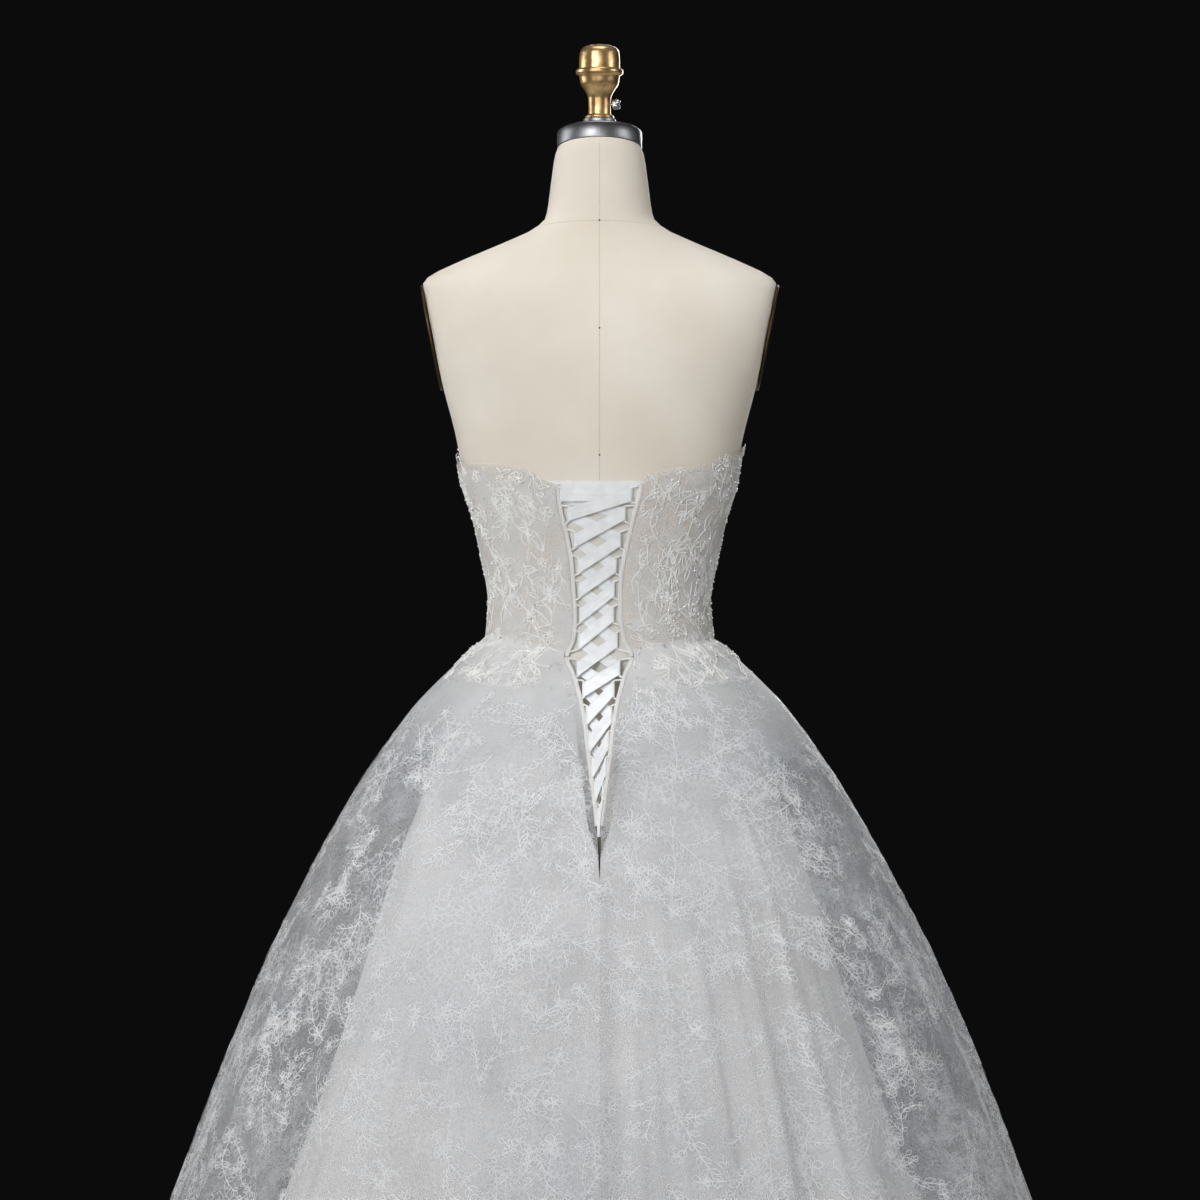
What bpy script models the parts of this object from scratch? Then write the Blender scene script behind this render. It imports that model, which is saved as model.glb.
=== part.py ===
"""A strapless lace wedding dress, laced up the back, on the limbless dress form that fills it out.

Metres, +Z up, at life size. The origin is on the floor under the middle of the stand, and the laced back
faces -Y. A point of the figure is an angle round it, from the centre back and positive towards +X, and a
height. Form and bodice follow one measured surface, which flares out below the waist seam into the skirt,
and each layer lies at its own level over it.
"""

import math

import bmesh
import bpy
import numpy as np
from mathutils import Matrix, Vector

GAP = 0.0003
MM = 0.001

# The figure: sections of a dress form for an 88 cm bust, 66 cm waist and 92 cm hip
#   height, half width, depth behind, depth ahead, squareness, how far the section leans ahead
FIGURE = (
    (0.790, 0.1500, 0.1040, 0.0920, 2.2, 0.000),
    (0.812, 0.1660, 0.1180, 0.1030, 2.2, 0.000),
    (0.850, 0.1715, 0.1260, 0.1080, 2.2, 0.000),
    (0.885, 0.1710, 0.1270, 0.1090, 2.2, 0.000),
    (0.925, 0.1630, 0.1210, 0.1080, 2.2, 0.000),
    (0.965, 0.1480, 0.1090, 0.1050, 2.2, 0.000),
    (1.000, 0.1310, 0.0980, 0.1000, 2.2, 0.000),
    (1.037, 0.1195, 0.0900, 0.0950, 2.1, 0.000),
    (1.080, 0.1165, 0.0880, 0.0930, 2.1, 0.000),
    (1.123, 0.1235, 0.0910, 0.0960, 2.1, 0.000),
    (1.166, 0.1330, 0.0970, 0.1020, 2.1, 0.000),
    (1.209, 0.1465, 0.1020, 0.1090, 2.2, 0.000),
    (1.252, 0.1540, 0.1030, 0.1120, 2.2, 0.000),
    (1.295, 0.1655, 0.1010, 0.1080, 2.2, 0.000),
    (1.338, 0.1815, 0.0960, 0.0990, 2.3, 0.000),
    (1.382, 0.1925, 0.0860, 0.0850, 2.3, 0.000),
    (1.403, 0.1945, 0.0790, 0.0750, 2.2, 0.000),
    (1.419, 0.1935, 0.0730, 0.0670, 2.1, 0.000),
    (1.428, 0.1840, 0.0690, 0.0620, 2.0, 0.000),
    (1.446, 0.1470, 0.0600, 0.0540, 1.9, 0.000),
    (1.468, 0.0950, 0.0520, 0.0500, 1.9, 0.001),
    (1.480, 0.0700, 0.0500, 0.0490, 2.0, 0.002),
    (1.492, 0.0580, 0.0490, 0.0490, 2.0, 0.004),
    (1.532, 0.0520, 0.0480, 0.0480, 2.0, 0.009),
    (1.559, 0.0480, 0.0470, 0.0470, 2.0, 0.013),
    (1.567, 0.0450, 0.0450, 0.0450, 2.0, 0.014),
)
BUST_HEIGHT, BUST_ANGLE = 1.250, 147.0
# How far the bust stands out, how wide in degrees and how tall: of the form, and of the boned cloth over it
FORM_BUST = (0.019, 23.0, 0.044)
CLOTH_BUST = (0.027, 28.0, 0.052)
NECK_BASE, NECK_TOP, NECK_TILT = 1.489, 1.567, math.radians(11)
FORM_SIDES = 32
# Heights of the form's rings, closest together where it curves most
FORM_RINGS = (
    0.790, 0.797, 0.815, 0.850, 0.890, 0.930, 0.960, 0.982, 1.002, 1.020, 1.038, 1.058,
    1.080, 1.102, 1.124, 1.150, 1.180, 1.210, 1.236, 1.262, 1.292, 1.330, 1.370, 1.402,
    1.418, 1.430, 1.446, 1.461, 1.476, 1.491, 1.520, 1.550, 1.5625, NECK_TOP,
)
ARMHOLE_CUT = 0.2

# Levels of the layers over the figure, at the centre back
SIDE_CLEARANCE, BACK_CLEARANCE = 1.4 * MM, 3.6 * MM
PANEL_LEVELS = (0.5 * MM, 1.5 * MM)
RIBBON_UNDER, RIBBON_OVER, RIBBON_THICK = 2.5 * MM, 6.5 * MM, 1.0 * MM
LOOP_LEVEL, LOOP_RADIUS = 4.5 * MM, 0.9 * MM
BODICE_THICK, SKIRT_THICK, LINING_THICK = 1.5 * MM, 1.2 * MM, 1.1 * MM
STEEP_SCALE, STEEP_WITHIN = 1.3, 0.012

# Bodice: its top edge, and the waist seam, which dips at the centre back and centre front
#   angle from the centre back, height on the -X side, height on the +X side
NECKLINE = (
    (0, 1.2000, 1.2040),
    (24, 1.2030, 1.2080),
    (31, 1.2070, 1.2150),
    (38, 1.2170, 1.2190),
    (52, 1.2240, 1.2235),
    (75, 1.2265, 1.2360),
    (90, 1.2310, 1.2420),
    (112, 1.2460, 1.2500),
    (130, 1.2860, 1.2870),
    (147, 1.3180, 1.3180),
    (165, 1.3020, 1.3020),
    (180, 1.2880, 1.2880),
)
SEAM_SIDE, SEAM_BACK_DIP, SEAM_FRONT_DIP = 1.0385, 0.0225, 0.033
SEAM_BACK_SPREAD, SEAM_FRONT_SPREAD = 45.0, 42.0
SIDE_SEAM, FRONT_SEAM = 90.0, 146.0

# Skirt and lining: how far each has flared at the side, by the drop below the waist seam
#   drop, skirt flare, gap from skirt to lining
FLARE = (
    (0.000, 0.0000, 0.0000),
    (0.006, 0.0100, 0.0000),
    (0.027, 0.0320, 0.0060),
    (0.048, 0.0540, 0.0210),
    (0.070, 0.0750, 0.0330),
    (0.097, 0.0960, 0.0450),
    (0.124, 0.1150, 0.0560),
    (0.150, 0.1330, 0.0660),
    (0.177, 0.1490, 0.0760),
    (0.231, 0.1800, 0.0850),
    (0.285, 0.2080, 0.0950),
    (0.339, 0.2340, 0.1050),
    (0.393, 0.2570, 0.1110),
    (0.447, 0.2790, 0.1150),
    (0.554, 0.3200, 0.1180),
    (0.607, 0.3400, 0.1180),
    (1.030, 0.4860, 0.1240),
)
BACK_FULLNESS, FRONT_FULLNESS = 0.92, 0.84
SKIRT_HEM, LINING_HEM = 0.012, 0.030
# The share of the skirt's folds that the lining lacks, reached at this drop below the seam
LINING_LACKS, LINING_LACKS_FROM = 0.6, 0.3
# Rows of the skirt panels, as shares of the fall: close together where the skirt flares and opens
SKIRT_SHARES = (0, 0.0066, 0.025, 0.054, 0.093, 0.135, 0.169, 0.208, 0.27, 0.35, 0.44, 0.55, 0.69, 0.84, 1)
LINING_ROWS = (1, 2, 3, 4, 6, 8, 10, 12, 14)
BODICE_ROWS, FRONT_ROWS = 9, 11
BACK_COLUMNS, SIDE_COLUMNS, FRONT_COLUMNS = 20, 12, 13
SKIRT_FRONT_COLUMNS, LINING_BACK_COLUMNS, LINING_FRONT_COLUMNS = 35, 11, 20
# Where a panel's rows lie at first, before they are fitted to its seam and top edge
BACK_SEAM_GUESS, BODICE_TALL_GUESS = 1.02, 0.19

# Folds of the skirt at the hem: angle, half width in degrees, ridge out or valley in, drop at which it starts
FOLDS = (
    (0.0, 3.5, 0.010, 0.18),
    (-9.0, 4.0, 0.009, 0.34),
    (-14.5, 4.5, -0.018, 0.30),
    (-27.0, 6.0, 0.010, 0.36),
    (-44.0, 8.0, 0.024, 0.12),
    (-59.0, 6.0, -0.016, 0.30),
    (-74.0, 7.0, 0.012, 0.34),
    (13.5, 5.0, -0.018, 0.26),
    (23.0, 6.0, 0.012, 0.34),
    (34.0, 5.0, -0.022, 0.12),
    (41.0, 5.0, 0.012, 0.24),
    (49.0, 5.0, -0.016, 0.28),
    (62.0, 7.0, 0.018, 0.22),
    (77.0, 6.0, -0.010, 0.36),
    (104.0, 7.0, 0.014, 0.26),
    (120.0, 6.0, -0.018, 0.22),
    (134.0, 8.0, 0.020, 0.16),
    (151.0, 6.0, -0.016, 0.30),
    (165.0, 6.0, 0.012, 0.34),
    (181.0, 6.0, -0.014, 0.28),
    (196.0, 7.0, 0.014, 0.24),
    (211.0, 6.0, -0.018, 0.20),
    (226.0, 7.0, 0.020, 0.18),
    (242.0, 6.0, -0.014, 0.30),
    (256.0, 6.0, 0.010, 0.36),
)

# The opening between the laced edges: height, edge on the -X side, edge on the +X side
OPENING = (
    (0.400, 0.0002, 0.0002),
    (0.800, 0.0002, 0.0002),
    (0.812, 0.0006, 0.0005),
    (0.824, 0.0015, 0.0012),
    (0.843, 0.0026, 0.0020),
    (0.873, 0.0056, 0.0052),
    (0.898, 0.0092, 0.0086),
    (0.924, 0.0125, 0.0120),
    (0.951, 0.0157, 0.0152),
    (0.975, 0.0205, 0.0199),
    (1.001, 0.0279, 0.0274),
    (1.020, 0.0354, 0.0343),
    (1.038, 0.0285, 0.0269),
    (1.063, 0.0264, 0.0227),
    (1.088, 0.0280, 0.0227),
    (1.117, 0.0301, 0.0253),
    (1.143, 0.0343, 0.0311),
    (1.175, 0.0416, 0.0385),
    (1.199, 0.0448, 0.0448),
    (1.230, 0.0460, 0.0460),
)
LINING_EDGE_BACK, LINING_CLOSED, LINING_FULL = 0.010, 0.806, 0.850
PIPING_WIDE, PIPING_END, PIPING_TOP = 1.5 * MM, 0.848, 1.2025
# The piping's rows keep this far from its ends, and the panels make room for it from just below its end
PIPING_ROW_APART, PIPING_ROOM_BELOW = 2 * MM, 4 * MM
# The seam's place at the opening, and how far the pipings of bodice and skirt stop from it
SEAM_EDGE_ANGLE, SEAM_EDGE_GAP = 20.5, 0.5 * MM

# The lacing: a 12.7 mm satin ribbon folded round one cord loop at each end of each row
#   height, fold on the -X side, fold on the +X side
LACING = (
    (1.1905, 0.0420, 0.0350),
    (1.1707, 0.0343, 0.0280),
    (1.1433, 0.0275, 0.0232),
    (1.1159, 0.0235, 0.0186),
    (1.0906, 0.0227, 0.0165),
    (1.0642, 0.0220, 0.0160),
    (1.0367, 0.0227, 0.0197),
    (1.0083, 0.0244, 0.0222),
    (0.9865, 0.0185, 0.0162),
    (0.9596, 0.0148, 0.0138),
    (0.9329, 0.0116, 0.0105),
    (0.9065, 0.0087, 0.0080),
    (0.8832, 0.0058, 0.0054),
)
RIBBON_WIDE, RIBBON_TALLEST = 0.0127, 0.0185
# A narrow end of the ribbon: across, below the last row, half across and half tall
RIBBON_TAIL = (
    (0.0030, 0.006, 0.0020, 0.0070),
    (0.0008, 0.014, 0.0026, 0.0030),
    (-0.0008, 0.024, 0.0022, 0.0004),
    (-0.0010, 0.036, 0.0016, 0.0),
    (-0.0012, 0.046, 0.0010, 0.0),
)
LONG_SPAN = 0.006
BODICE_LOOPS = 7
LOOPS_APART, LAST_LOOP_DROP = 1.2 * MM, 13 * MM
LOOP_BEYOND_FOLD, LOOP_SLOPE = 0.2 * MM, 1.3 * MM
FOLD_CLEARANCE = 0.6 * MM
PANEL_TOP, PANEL_BOTTOM, PANEL_REACH = 1.2055, 0.992, 0.022

# Hard pieces of the form
ARM_PLATE_HEIGHT, ARM_PLATE_OUT, ARM_PLATE_LEAN = 1.3625, 0.1790, math.radians(11)
ARM_PLATE_HALF = (0.036, 0.058)
ARM_PLATE_THICK = 3 * MM
CAP_RADIUS, CAP_THICK, CAP_DOME = 0.0458, 0.0185, 0.008
BOSS_RADIUS, BOSS_DEPTH, FINIAL_SEAT = 0.0175, 0.016, 1.5980
SCREW_HEIGHT, SCREW_RADIUS, SCREW_HEAD_RADIUS = 1.6135, 0.0020, 0.0054
SCREW_INNER, SCREW_NECK, SCREW_OUTER = 0.0050, 0.0137, 0.0223
SCREW_KNURLS, KNURL_DEPTH = 9, 0.09
SCREW_BORE_SHORT, SCREW_BORE_OUT = 1 * MM, 0.03
# The turned finial: radius, height over its seat
FINIAL = (
    (0.0156, 0.0000),
    (0.0156, 0.0026),
    (0.0123, 0.0044),
    (0.0120, 0.0120),
    (0.0123, 0.0212),
    (0.0135, 0.0255),
    (0.0167, 0.0309),
    (0.0205, 0.0373),
    (0.0221, 0.0459),
    (0.0253, 0.0478),
    (0.0256, 0.0500),
    (0.0250, 0.0522),
    (0.0220, 0.0537),
    (0.0218, 0.0640),
    (0.0207, 0.0738),
    (0.0150, 0.0780),
    (0.0070, 0.0796),
)
FINIAL_SIDES = 18
POLE_RADIUS, COLLAR_RADIUS, COLLAR_THICK, COLLAR_CONE = 0.0125, 0.042, 0.008, 0.012
BASE_HUB = 0.030
# The base: radius, height
BASE = (
    (0.193, 0.0),
    (0.195, 0.002),
    (0.195, 0.008),
    (0.120, 0.013),
    (0.050, 0.018),
    (POLE_RADIUS + 0.012, 0.021),
    (POLE_RADIUS + 0.006, BASE_HUB),
)


def through(rows, column, at):
    """The column's value on a smooth curve through a table's rows, with no overshoot between them."""
    table = np.array(rows, float)
    places = table[:, 0]
    values = table[:, column]
    steps = np.diff(places)
    slopes = np.diff(values) / steps
    tangents = np.zeros_like(values)
    tangents[0] = slopes[0]
    tangents[-1] = slopes[-1]
    product = slopes[:-1] * slopes[1:]
    total = slopes[:-1] + slopes[1:]
    monotone = product > 0
    tangents[1:-1][monotone] = 2 * product[monotone] / total[monotone]
    at = np.clip(at, places[0], places[-1])
    row = np.clip(np.searchsorted(places, at) - 1, 0, len(steps) - 1)
    t = (at - places[row]) / steps[row]
    start = (1 + 2 * t) * (1 - t) ** 2 * values[row] + t * (1 - t) ** 2 * steps[row] * tangents[row]
    end = t**2 * (3 - 2 * t) * values[row + 1] + t**2 * (t - 1) * steps[row] * tangents[row + 1]
    return start + end


def eased(t):
    """From 0 to 1 with no corner at either end."""
    t = np.clip(t, 0, 1)
    return t * t * (3 - 2 * t)


def bell(degrees, middle, spread):
    """1 at the middle angle, falling off to both sides of it, the same all the way round."""
    away = (degrees - middle + 180) % 360 - 180
    return np.exp(-((away / spread) ** 2))


def figure_radius(angle, height, bust=FORM_BUST):
    """The figure's radius at an angle and a height."""
    side = np.abs(np.sin(angle))
    ahead = -np.cos(angle)
    half = through(FIGURE, 1, height)
    depth = np.where(ahead > 0, through(FIGURE, 3, height), through(FIGURE, 2, height))
    power = through(FIGURE, 4, height)
    radius = ((side / half) ** power + (np.abs(ahead) / depth) ** power) ** (-1 / power)
    degrees = np.degrees(angle)
    out, wide, tall = bust
    cups = bell(degrees, BUST_ANGLE, wide) + bell(degrees, -BUST_ANGLE, wide)
    return radius + out * cups * np.exp(-(((height - BUST_HEIGHT) / tall) ** 2))


def clearance(angle):
    """How far off the figure the cloth's inside lies: more at the back, where the ribbon runs under it."""
    away = np.abs((np.degrees(angle) + 180) % 360 - 180)
    return SIDE_CLEARANCE + (BACK_CLEARANCE - SIDE_CLEARANCE) * eased((78 - away) / 36)


def seam_height(angle):
    """The waist seam's height."""
    degrees = np.degrees(angle)
    back = SEAM_BACK_DIP * bell(degrees, 0, SEAM_BACK_SPREAD)
    return SEAM_SIDE - back - SEAM_FRONT_DIP * bell(degrees, 180, SEAM_FRONT_SPREAD)


def neckline_height(angle):
    """The bodice's top edge."""
    degrees = (np.degrees(angle) + 180) % 360 - 180
    left = through(NECKLINE, 1, np.abs(degrees))
    right = through(NECKLINE, 2, np.abs(degrees))
    return np.where(degrees < 0, left, right)


def fullness(angle):
    """The skirt's flare at this angle, as a share of its flare at the side."""
    middle = np.where(np.cos(angle) > 0, BACK_FULLNESS, FRONT_FULLNESS)
    return middle + (1 - middle) * np.sin(angle) ** 2


def fold_depth(angle, drop):
    """How far the skirt's folds stand out or in."""
    degrees = np.degrees(angle)
    whole = FLARE[-1][0]
    depth = np.zeros_like(drop)
    for middle, spread, out, start in FOLDS:
        depth = depth + out * bell(degrees, middle, spread) * eased((drop - start) / (whole - start)) ** 0.7
    return depth


def cloth_radius(angle, height, level):
    """The radius of a layer at a level over the figure, and over its flare below the waist seam."""
    seam = seam_height(angle)
    drop = np.maximum(seam - height, 0)
    flare = through(FLARE, 1, drop) * fullness(angle)
    scale = 1 + (STEEP_SCALE - 1) * eased(drop / STEEP_WITHIN)
    figure = figure_radius(angle, np.maximum(height, seam), CLOTH_BUST)
    return figure + flare + fold_depth(angle, drop) + level * scale


def lining_radius(angle, height, inside):
    """The lining's radius: close under the skirt at the waist, and less full lower down."""
    drop = seam_height(angle) - height
    seam_level = clearance(angle) + BODICE_THICK - SKIRT_THICK - GAP
    level = seam_level - (LINING_THICK if inside else 0)
    droop = through(FLARE, 2, drop) * fullness(angle)
    folds = fold_depth(angle, drop)
    return cloth_radius(angle, height, level) - droop - LINING_LACKS * folds * eased(drop / LINING_LACKS_FROM)


def at_polar(angle, height, radius):
    """Points from angles, heights and radii."""
    return np.stack([radius * np.sin(angle), -radius * np.cos(angle), height], axis=-1)


def back_angle(across, height, level):
    """The angle at which a layer of the back is this far across, counted from the centre back."""
    angle = across / cloth_radius(np.zeros_like(across), height, level)
    for _ in range(6):
        angle = np.arcsin(across / cloth_radius(angle, height, level))
    return angle


def on_back(across, height, level):
    """Points of the back, from how far across they are, their height and their level."""
    across, height, level = np.broadcast_arrays(*map(np.asarray, (across, height, level)))
    angle = back_angle(across.astype(float), height, level)
    return at_polar(angle, height, cloth_radius(angle, height, level))


def opening_edge(side, height):
    """How far from the centre back the opening's edge is, on side -1 or 1."""
    return through(OPENING, 1 if side < 0 else 2, height)


def sewn_rows(side):
    """The heights of the panels' rows along the opening's edge, from the hem up."""
    falls = np.array(SKIRT_SHARES)
    rises = np.linspace(0, 1, BODICE_ROWS)
    skirt = SEAM_SIDE - falls
    bodice = SEAM_SIDE + 0.16 * rises
    for _ in range(4):
        seam = seam_height(back_angle(side * opening_edge(side, skirt), skirt, BACK_CLEARANCE))
        skirt = seam - falls * (seam - SKIRT_HEM)
        angle = back_angle(side * opening_edge(side, bodice), bodice, BACK_CLEARANCE)
        bodice = seam_height(angle) + rises * (neckline_height(angle) - seam_height(angle))
    return np.concatenate([skirt[::-1], bodice[1:]])


def sewn_edge(side, height):
    """The opening's edge as the panels' rows give it, straight from row to row."""
    rows = sewn_rows(side)
    return np.interp(height, rows, opening_edge(side, rows))


def finish(colour, roughness, metallic=0.0):
    """A plain material, from an sRGB colour."""
    linear = [c / 12.92 if c <= 0.04045 else ((c + 0.055) / 1.055) ** 2.4 for c in colour]
    material = bpy.data.materials.new("finish")
    material.use_nodes = True
    shader = material.node_tree.nodes["Principled BSDF"]
    shader.inputs["Base Color"].default_value = (*linear, 1)
    shader.inputs["Roughness"].default_value = roughness
    shader.inputs["Metallic"].default_value = metallic
    return material


IVORY_LACE = ((0.88, 0.86, 0.83), 0.8)
IVORY_NET = ((0.90, 0.89, 0.87), 0.8)
LINING_SATIN = ((0.90, 0.89, 0.88), 0.6)
RIBBON_SATIN = ((0.92, 0.93, 0.94), 0.35)
LINEN = ((0.87, 0.83, 0.78), 0.9)
BRONZE = ((0.42, 0.33, 0.18), 0.4, 1.0)
STEEL = ((0.35, 0.35, 0.36), 0.35, 1.0)
AGED_GOLD = ((0.72, 0.59, 0.38), 0.45, 0.8)
BRIGHT_STEEL = ((0.75, 0.75, 0.76), 0.25, 1.0)
BLACK_IRON = ((0.10, 0.10, 0.10), 0.5, 0.6)


def show(name, mesh, looks, smooth=35):
    """An object with its own material, shaded smooth but for its sharp edges."""
    mesh.materials.append(finish(*looks))
    mesh.materials[0].name = name
    mesh.shade_smooth()
    mesh.set_sharp_from_angle(angle=math.radians(smooth))
    body = bpy.data.objects.new(name, mesh)
    bpy.context.scene.collection.objects.link(body)
    return body


def mesh_of(name, points, faces):
    """A mesh from points and faces, with its faces turned outwards."""
    mesh = bpy.data.meshes.new(name)
    mesh.from_pydata([tuple(point) for point in points], [], faces)
    work = bmesh.new()
    work.from_mesh(mesh)
    bmesh.ops.recalc_face_normals(work, faces=work.faces)
    work.to_mesh(mesh)
    work.free()
    return mesh


def cloth_wall(name, outside, inside):
    """A closed wall between two grids of points, each rows by columns."""
    rows, columns = outside.shape[:2]
    points = np.concatenate([outside.reshape(-1, 3), inside.reshape(-1, 3)])
    back = rows * columns
    faces = []
    for row in range(rows - 1):
        for column in range(columns - 1):
            a = row * columns + column
            quad = (a, a + 1, a + columns + 1, a + columns)
            faces.append(quad)
            faces.append(tuple(back + corner for corner in reversed(quad)))
    rim = list(range(columns))
    rim += [row * columns + columns - 1 for row in range(1, rows)]
    rim += [(rows - 1) * columns + column for column in reversed(range(columns - 1))]
    rim += [row * columns for row in reversed(range(1, rows - 1))]
    for here, there in zip(rim, rim[1:] + rim[:1]):
        faces.append((there, here, back + here, back + there))
    return mesh_of(name, points, faces)


def turned(name, profile, sides):
    """A solid turned round Z from a profile of radius and height, with flat ends."""
    points = []
    for radius, height in profile:
        for step in range(sides):
            angle = 2 * math.pi * step / sides
            points.append((radius * math.cos(angle), radius * math.sin(angle), height))
    faces = [tuple(range(sides)), tuple(len(points) - sides + step for step in range(sides))]
    for row in range(len(profile) - 1):
        for step in range(sides):
            a = row * sides + step
            b = row * sides + (step + 1) % sides
            faces.append((a, b, b + sides, a + sides))
    return mesh_of(name, points, faces)


def cutter(body, name, mesh, operation="DIFFERENCE"):
    """Cuts or joins a guide mesh into a body with a Boolean, and returns the guide."""
    guide = bpy.data.objects.new(name, mesh)
    bpy.context.scene.collection.objects.link(guide)
    guide.hide_render = True
    guide.display_type = "WIRE"
    modifier = body.modifiers.new(name, "BOOLEAN")
    modifier.operation = operation
    modifier.object = guide
    return guide


# Dress form: one padded torso with its neck, flat at the armholes, closed under the hips
def form_body():
    angles = np.linspace(0, 2 * math.pi, FORM_SIDES, endpoint=False)
    rings = []
    for height in FORM_RINGS:
        level = np.full(FORM_SIDES, height)
        ring = at_polar(angles, level, figure_radius(angles, level))
        tilt = math.tan(NECK_TILT) * eased((height - NECK_BASE) / (NECK_TOP - NECK_BASE))
        ring[:, 2] -= tilt * ring[:, 1]
        ring[:, 1] += through(FIGURE, 5, height)
        rings.append(ring)
    last_ring = (len(rings) - 1) * FORM_SIDES
    faces = [tuple(range(FORM_SIDES)), tuple(last_ring + step for step in range(FORM_SIDES))]
    for row in range(len(rings) - 1):
        for step in range(FORM_SIDES):
            a = row * FORM_SIDES + step
            b = row * FORM_SIDES + (step + 1) % FORM_SIDES
            faces.append((a, b, b + FORM_SIDES, a + FORM_SIDES))
    body = show("form_body", mesh_of("form_body", np.concatenate(rings), faces), LINEN)
    for side, label in ((-1, "left"), (1, "right")):
        block = bmesh.new()
        bmesh.ops.create_cube(block, size=ARMHOLE_CUT)
        mesh = bpy.data.meshes.new("armhole_cut_" + label)
        block.to_mesh(mesh)
        block.free()
        guide = cutter(body, "armhole_cut_" + label, mesh)
        guide.matrix_world = arm_frame(side) @ Matrix.Translation((0, 0, ARMHOLE_CUT / 2))


def arm_frame(side):
    """A frame on the armhole's flat: Z out of the body, X along Y."""
    out = Vector((side * math.cos(ARM_PLATE_LEAN), 0, -math.sin(ARM_PLATE_LEAN)))
    along = Vector((0, 1, 0))
    frame = Matrix((along, out.cross(along), out)).transposed().to_4x4()
    frame.translation = (side * ARM_PLATE_OUT, 0, ARM_PLATE_HEIGHT)
    return frame


def arm_plates():
    for side, label in ((-1, "left"), (1, "right")):
        disc = bmesh.new()
        middle = Matrix.Translation((0, 0, GAP + ARM_PLATE_THICK / 2))
        place = middle @ Matrix.Diagonal((*ARM_PLATE_HALF, 1, 1))
        bmesh.ops.create_cone(
            disc, cap_ends=True, segments=24, radius1=1, radius2=1, depth=ARM_PLATE_THICK, matrix=place
        )
        mesh = bpy.data.meshes.new("arm_plate_" + label)
        disc.to_mesh(mesh)
        disc.free()
        plate = show("arm_plate_" + label, mesh, BRONZE)
        plate.matrix_world = arm_frame(side)
        edge = plate.modifiers.new("edge", "BEVEL")
        edge.width = 0.8 * MM
        edge.limit_method = "ANGLE"


def neck_cap():
    rim = CAP_RADIUS
    profile = [(rim - MM, 0), (rim, MM), (rim, CAP_THICK - 2 * MM), (rim - 1.2 * MM, CAP_THICK - 0.5 * MM)]
    for share in (0.9, 0.7, 0.45, 0.2):
        profile.append((rim * share, CAP_THICK + CAP_DOME * (1 - share**2)))
    cap = show("neck_cap", turned("neck_cap", profile, 24), STEEL)
    seat = Matrix.Translation((0, through(FIGURE, 5, NECK_TOP), NECK_TOP))
    cap.matrix_world = seat @ Matrix.Rotation(-NECK_TILT, 4, "X") @ Matrix.Translation((0, 0, GAP))
    boss = turned("finial_boss", [(BOSS_RADIUS, FINIAL_SEAT - BOSS_DEPTH), (BOSS_RADIUS, FINIAL_SEAT)], 20)
    cutter(cap, "finial_boss", boss, "UNION")


def finial():
    knob = show("finial", turned("finial", FINIAL, FINIAL_SIDES), AGED_GOLD)
    knob.location = (0, 0, FINIAL_SEAT + GAP)
    bore_radius = SCREW_RADIUS + GAP
    profile = [(bore_radius, SCREW_INNER - SCREW_BORE_SHORT), (bore_radius, SCREW_BORE_OUT)]
    bore = turned("screw_bore", profile, 12)
    guide = cutter(knob, "screw_bore", bore)
    guide.matrix_world = Matrix.Translation((0, 0, SCREW_HEIGHT)) @ Matrix.Rotation(math.pi / 2, 4, "Y")


def thumb_screw():
    """The screw has its origin on its own axis, and its knurled head is turned as one ring of teeth."""
    sides = 2 * SCREW_KNURLS
    rings = ((SCREW_RADIUS, SCREW_INNER, 0), (SCREW_RADIUS, SCREW_NECK, 0))
    rings += ((SCREW_HEAD_RADIUS, SCREW_NECK, 1), (SCREW_HEAD_RADIUS, SCREW_OUTER, 1))
    points = []
    for radius, along, knurled in rings:
        for step in range(sides):
            angle = 2 * math.pi * step / sides
            reach = radius * (1 - KNURL_DEPTH * knurled * (step % 2))
            points.append((along, reach * math.cos(angle), reach * math.sin(angle)))
    faces = [tuple(range(sides)), tuple(3 * sides + step for step in range(sides))]
    for row in range(3):
        for step in range(sides):
            a = row * sides + step
            b = row * sides + (step + 1) % sides
            faces.append((a, b, b + sides, a + sides))
    screw = show("thumb_screw", mesh_of("thumb_screw", points, faces), BRIGHT_STEEL)
    screw.location = (0, 0, SCREW_HEIGHT)


# Stand: a pole under the form, on a round iron base
def stand():
    top = FIGURE[0][0] - GAP
    under = top - COLLAR_THICK
    pole = [(POLE_RADIUS, BASE_HUB + GAP), (POLE_RADIUS, under - COLLAR_CONE), (COLLAR_RADIUS * 0.6, under)]
    pole += [(COLLAR_RADIUS, under), (COLLAR_RADIUS, top)]
    show("stand_pole", turned("stand_pole", pole, 16), BRIGHT_STEEL)
    show("stand_base", turned("stand_base", BASE, 32), BLACK_IRON)


def panel_angles(first, last, columns, height, level):
    """Angles across a panel, a little inside its bounds: each a seam's angle or an edge of the opening."""
    ends = []
    for seam, inward in ((first, 1), (last, -1)):
        if isinstance(seam, str):
            side = -1 if seam == "left_edge" else 1
            piped = height > PIPING_END - PIPING_ROOM_BELOW
            room = opening_edge(side, height) + np.where(piped, PIPING_WIDE + GAP, 0)
            ends.append(back_angle(side * room, height, level))
        else:
            angle = np.full_like(height, math.radians(seam))
            ends.append(angle + inward * GAP / 2 / cloth_radius(angle, height, level))
    share = np.linspace(0, 1, columns)[None, :]
    return ends[0][:, None] * (1 - share) + ends[1][:, None] * share


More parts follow.
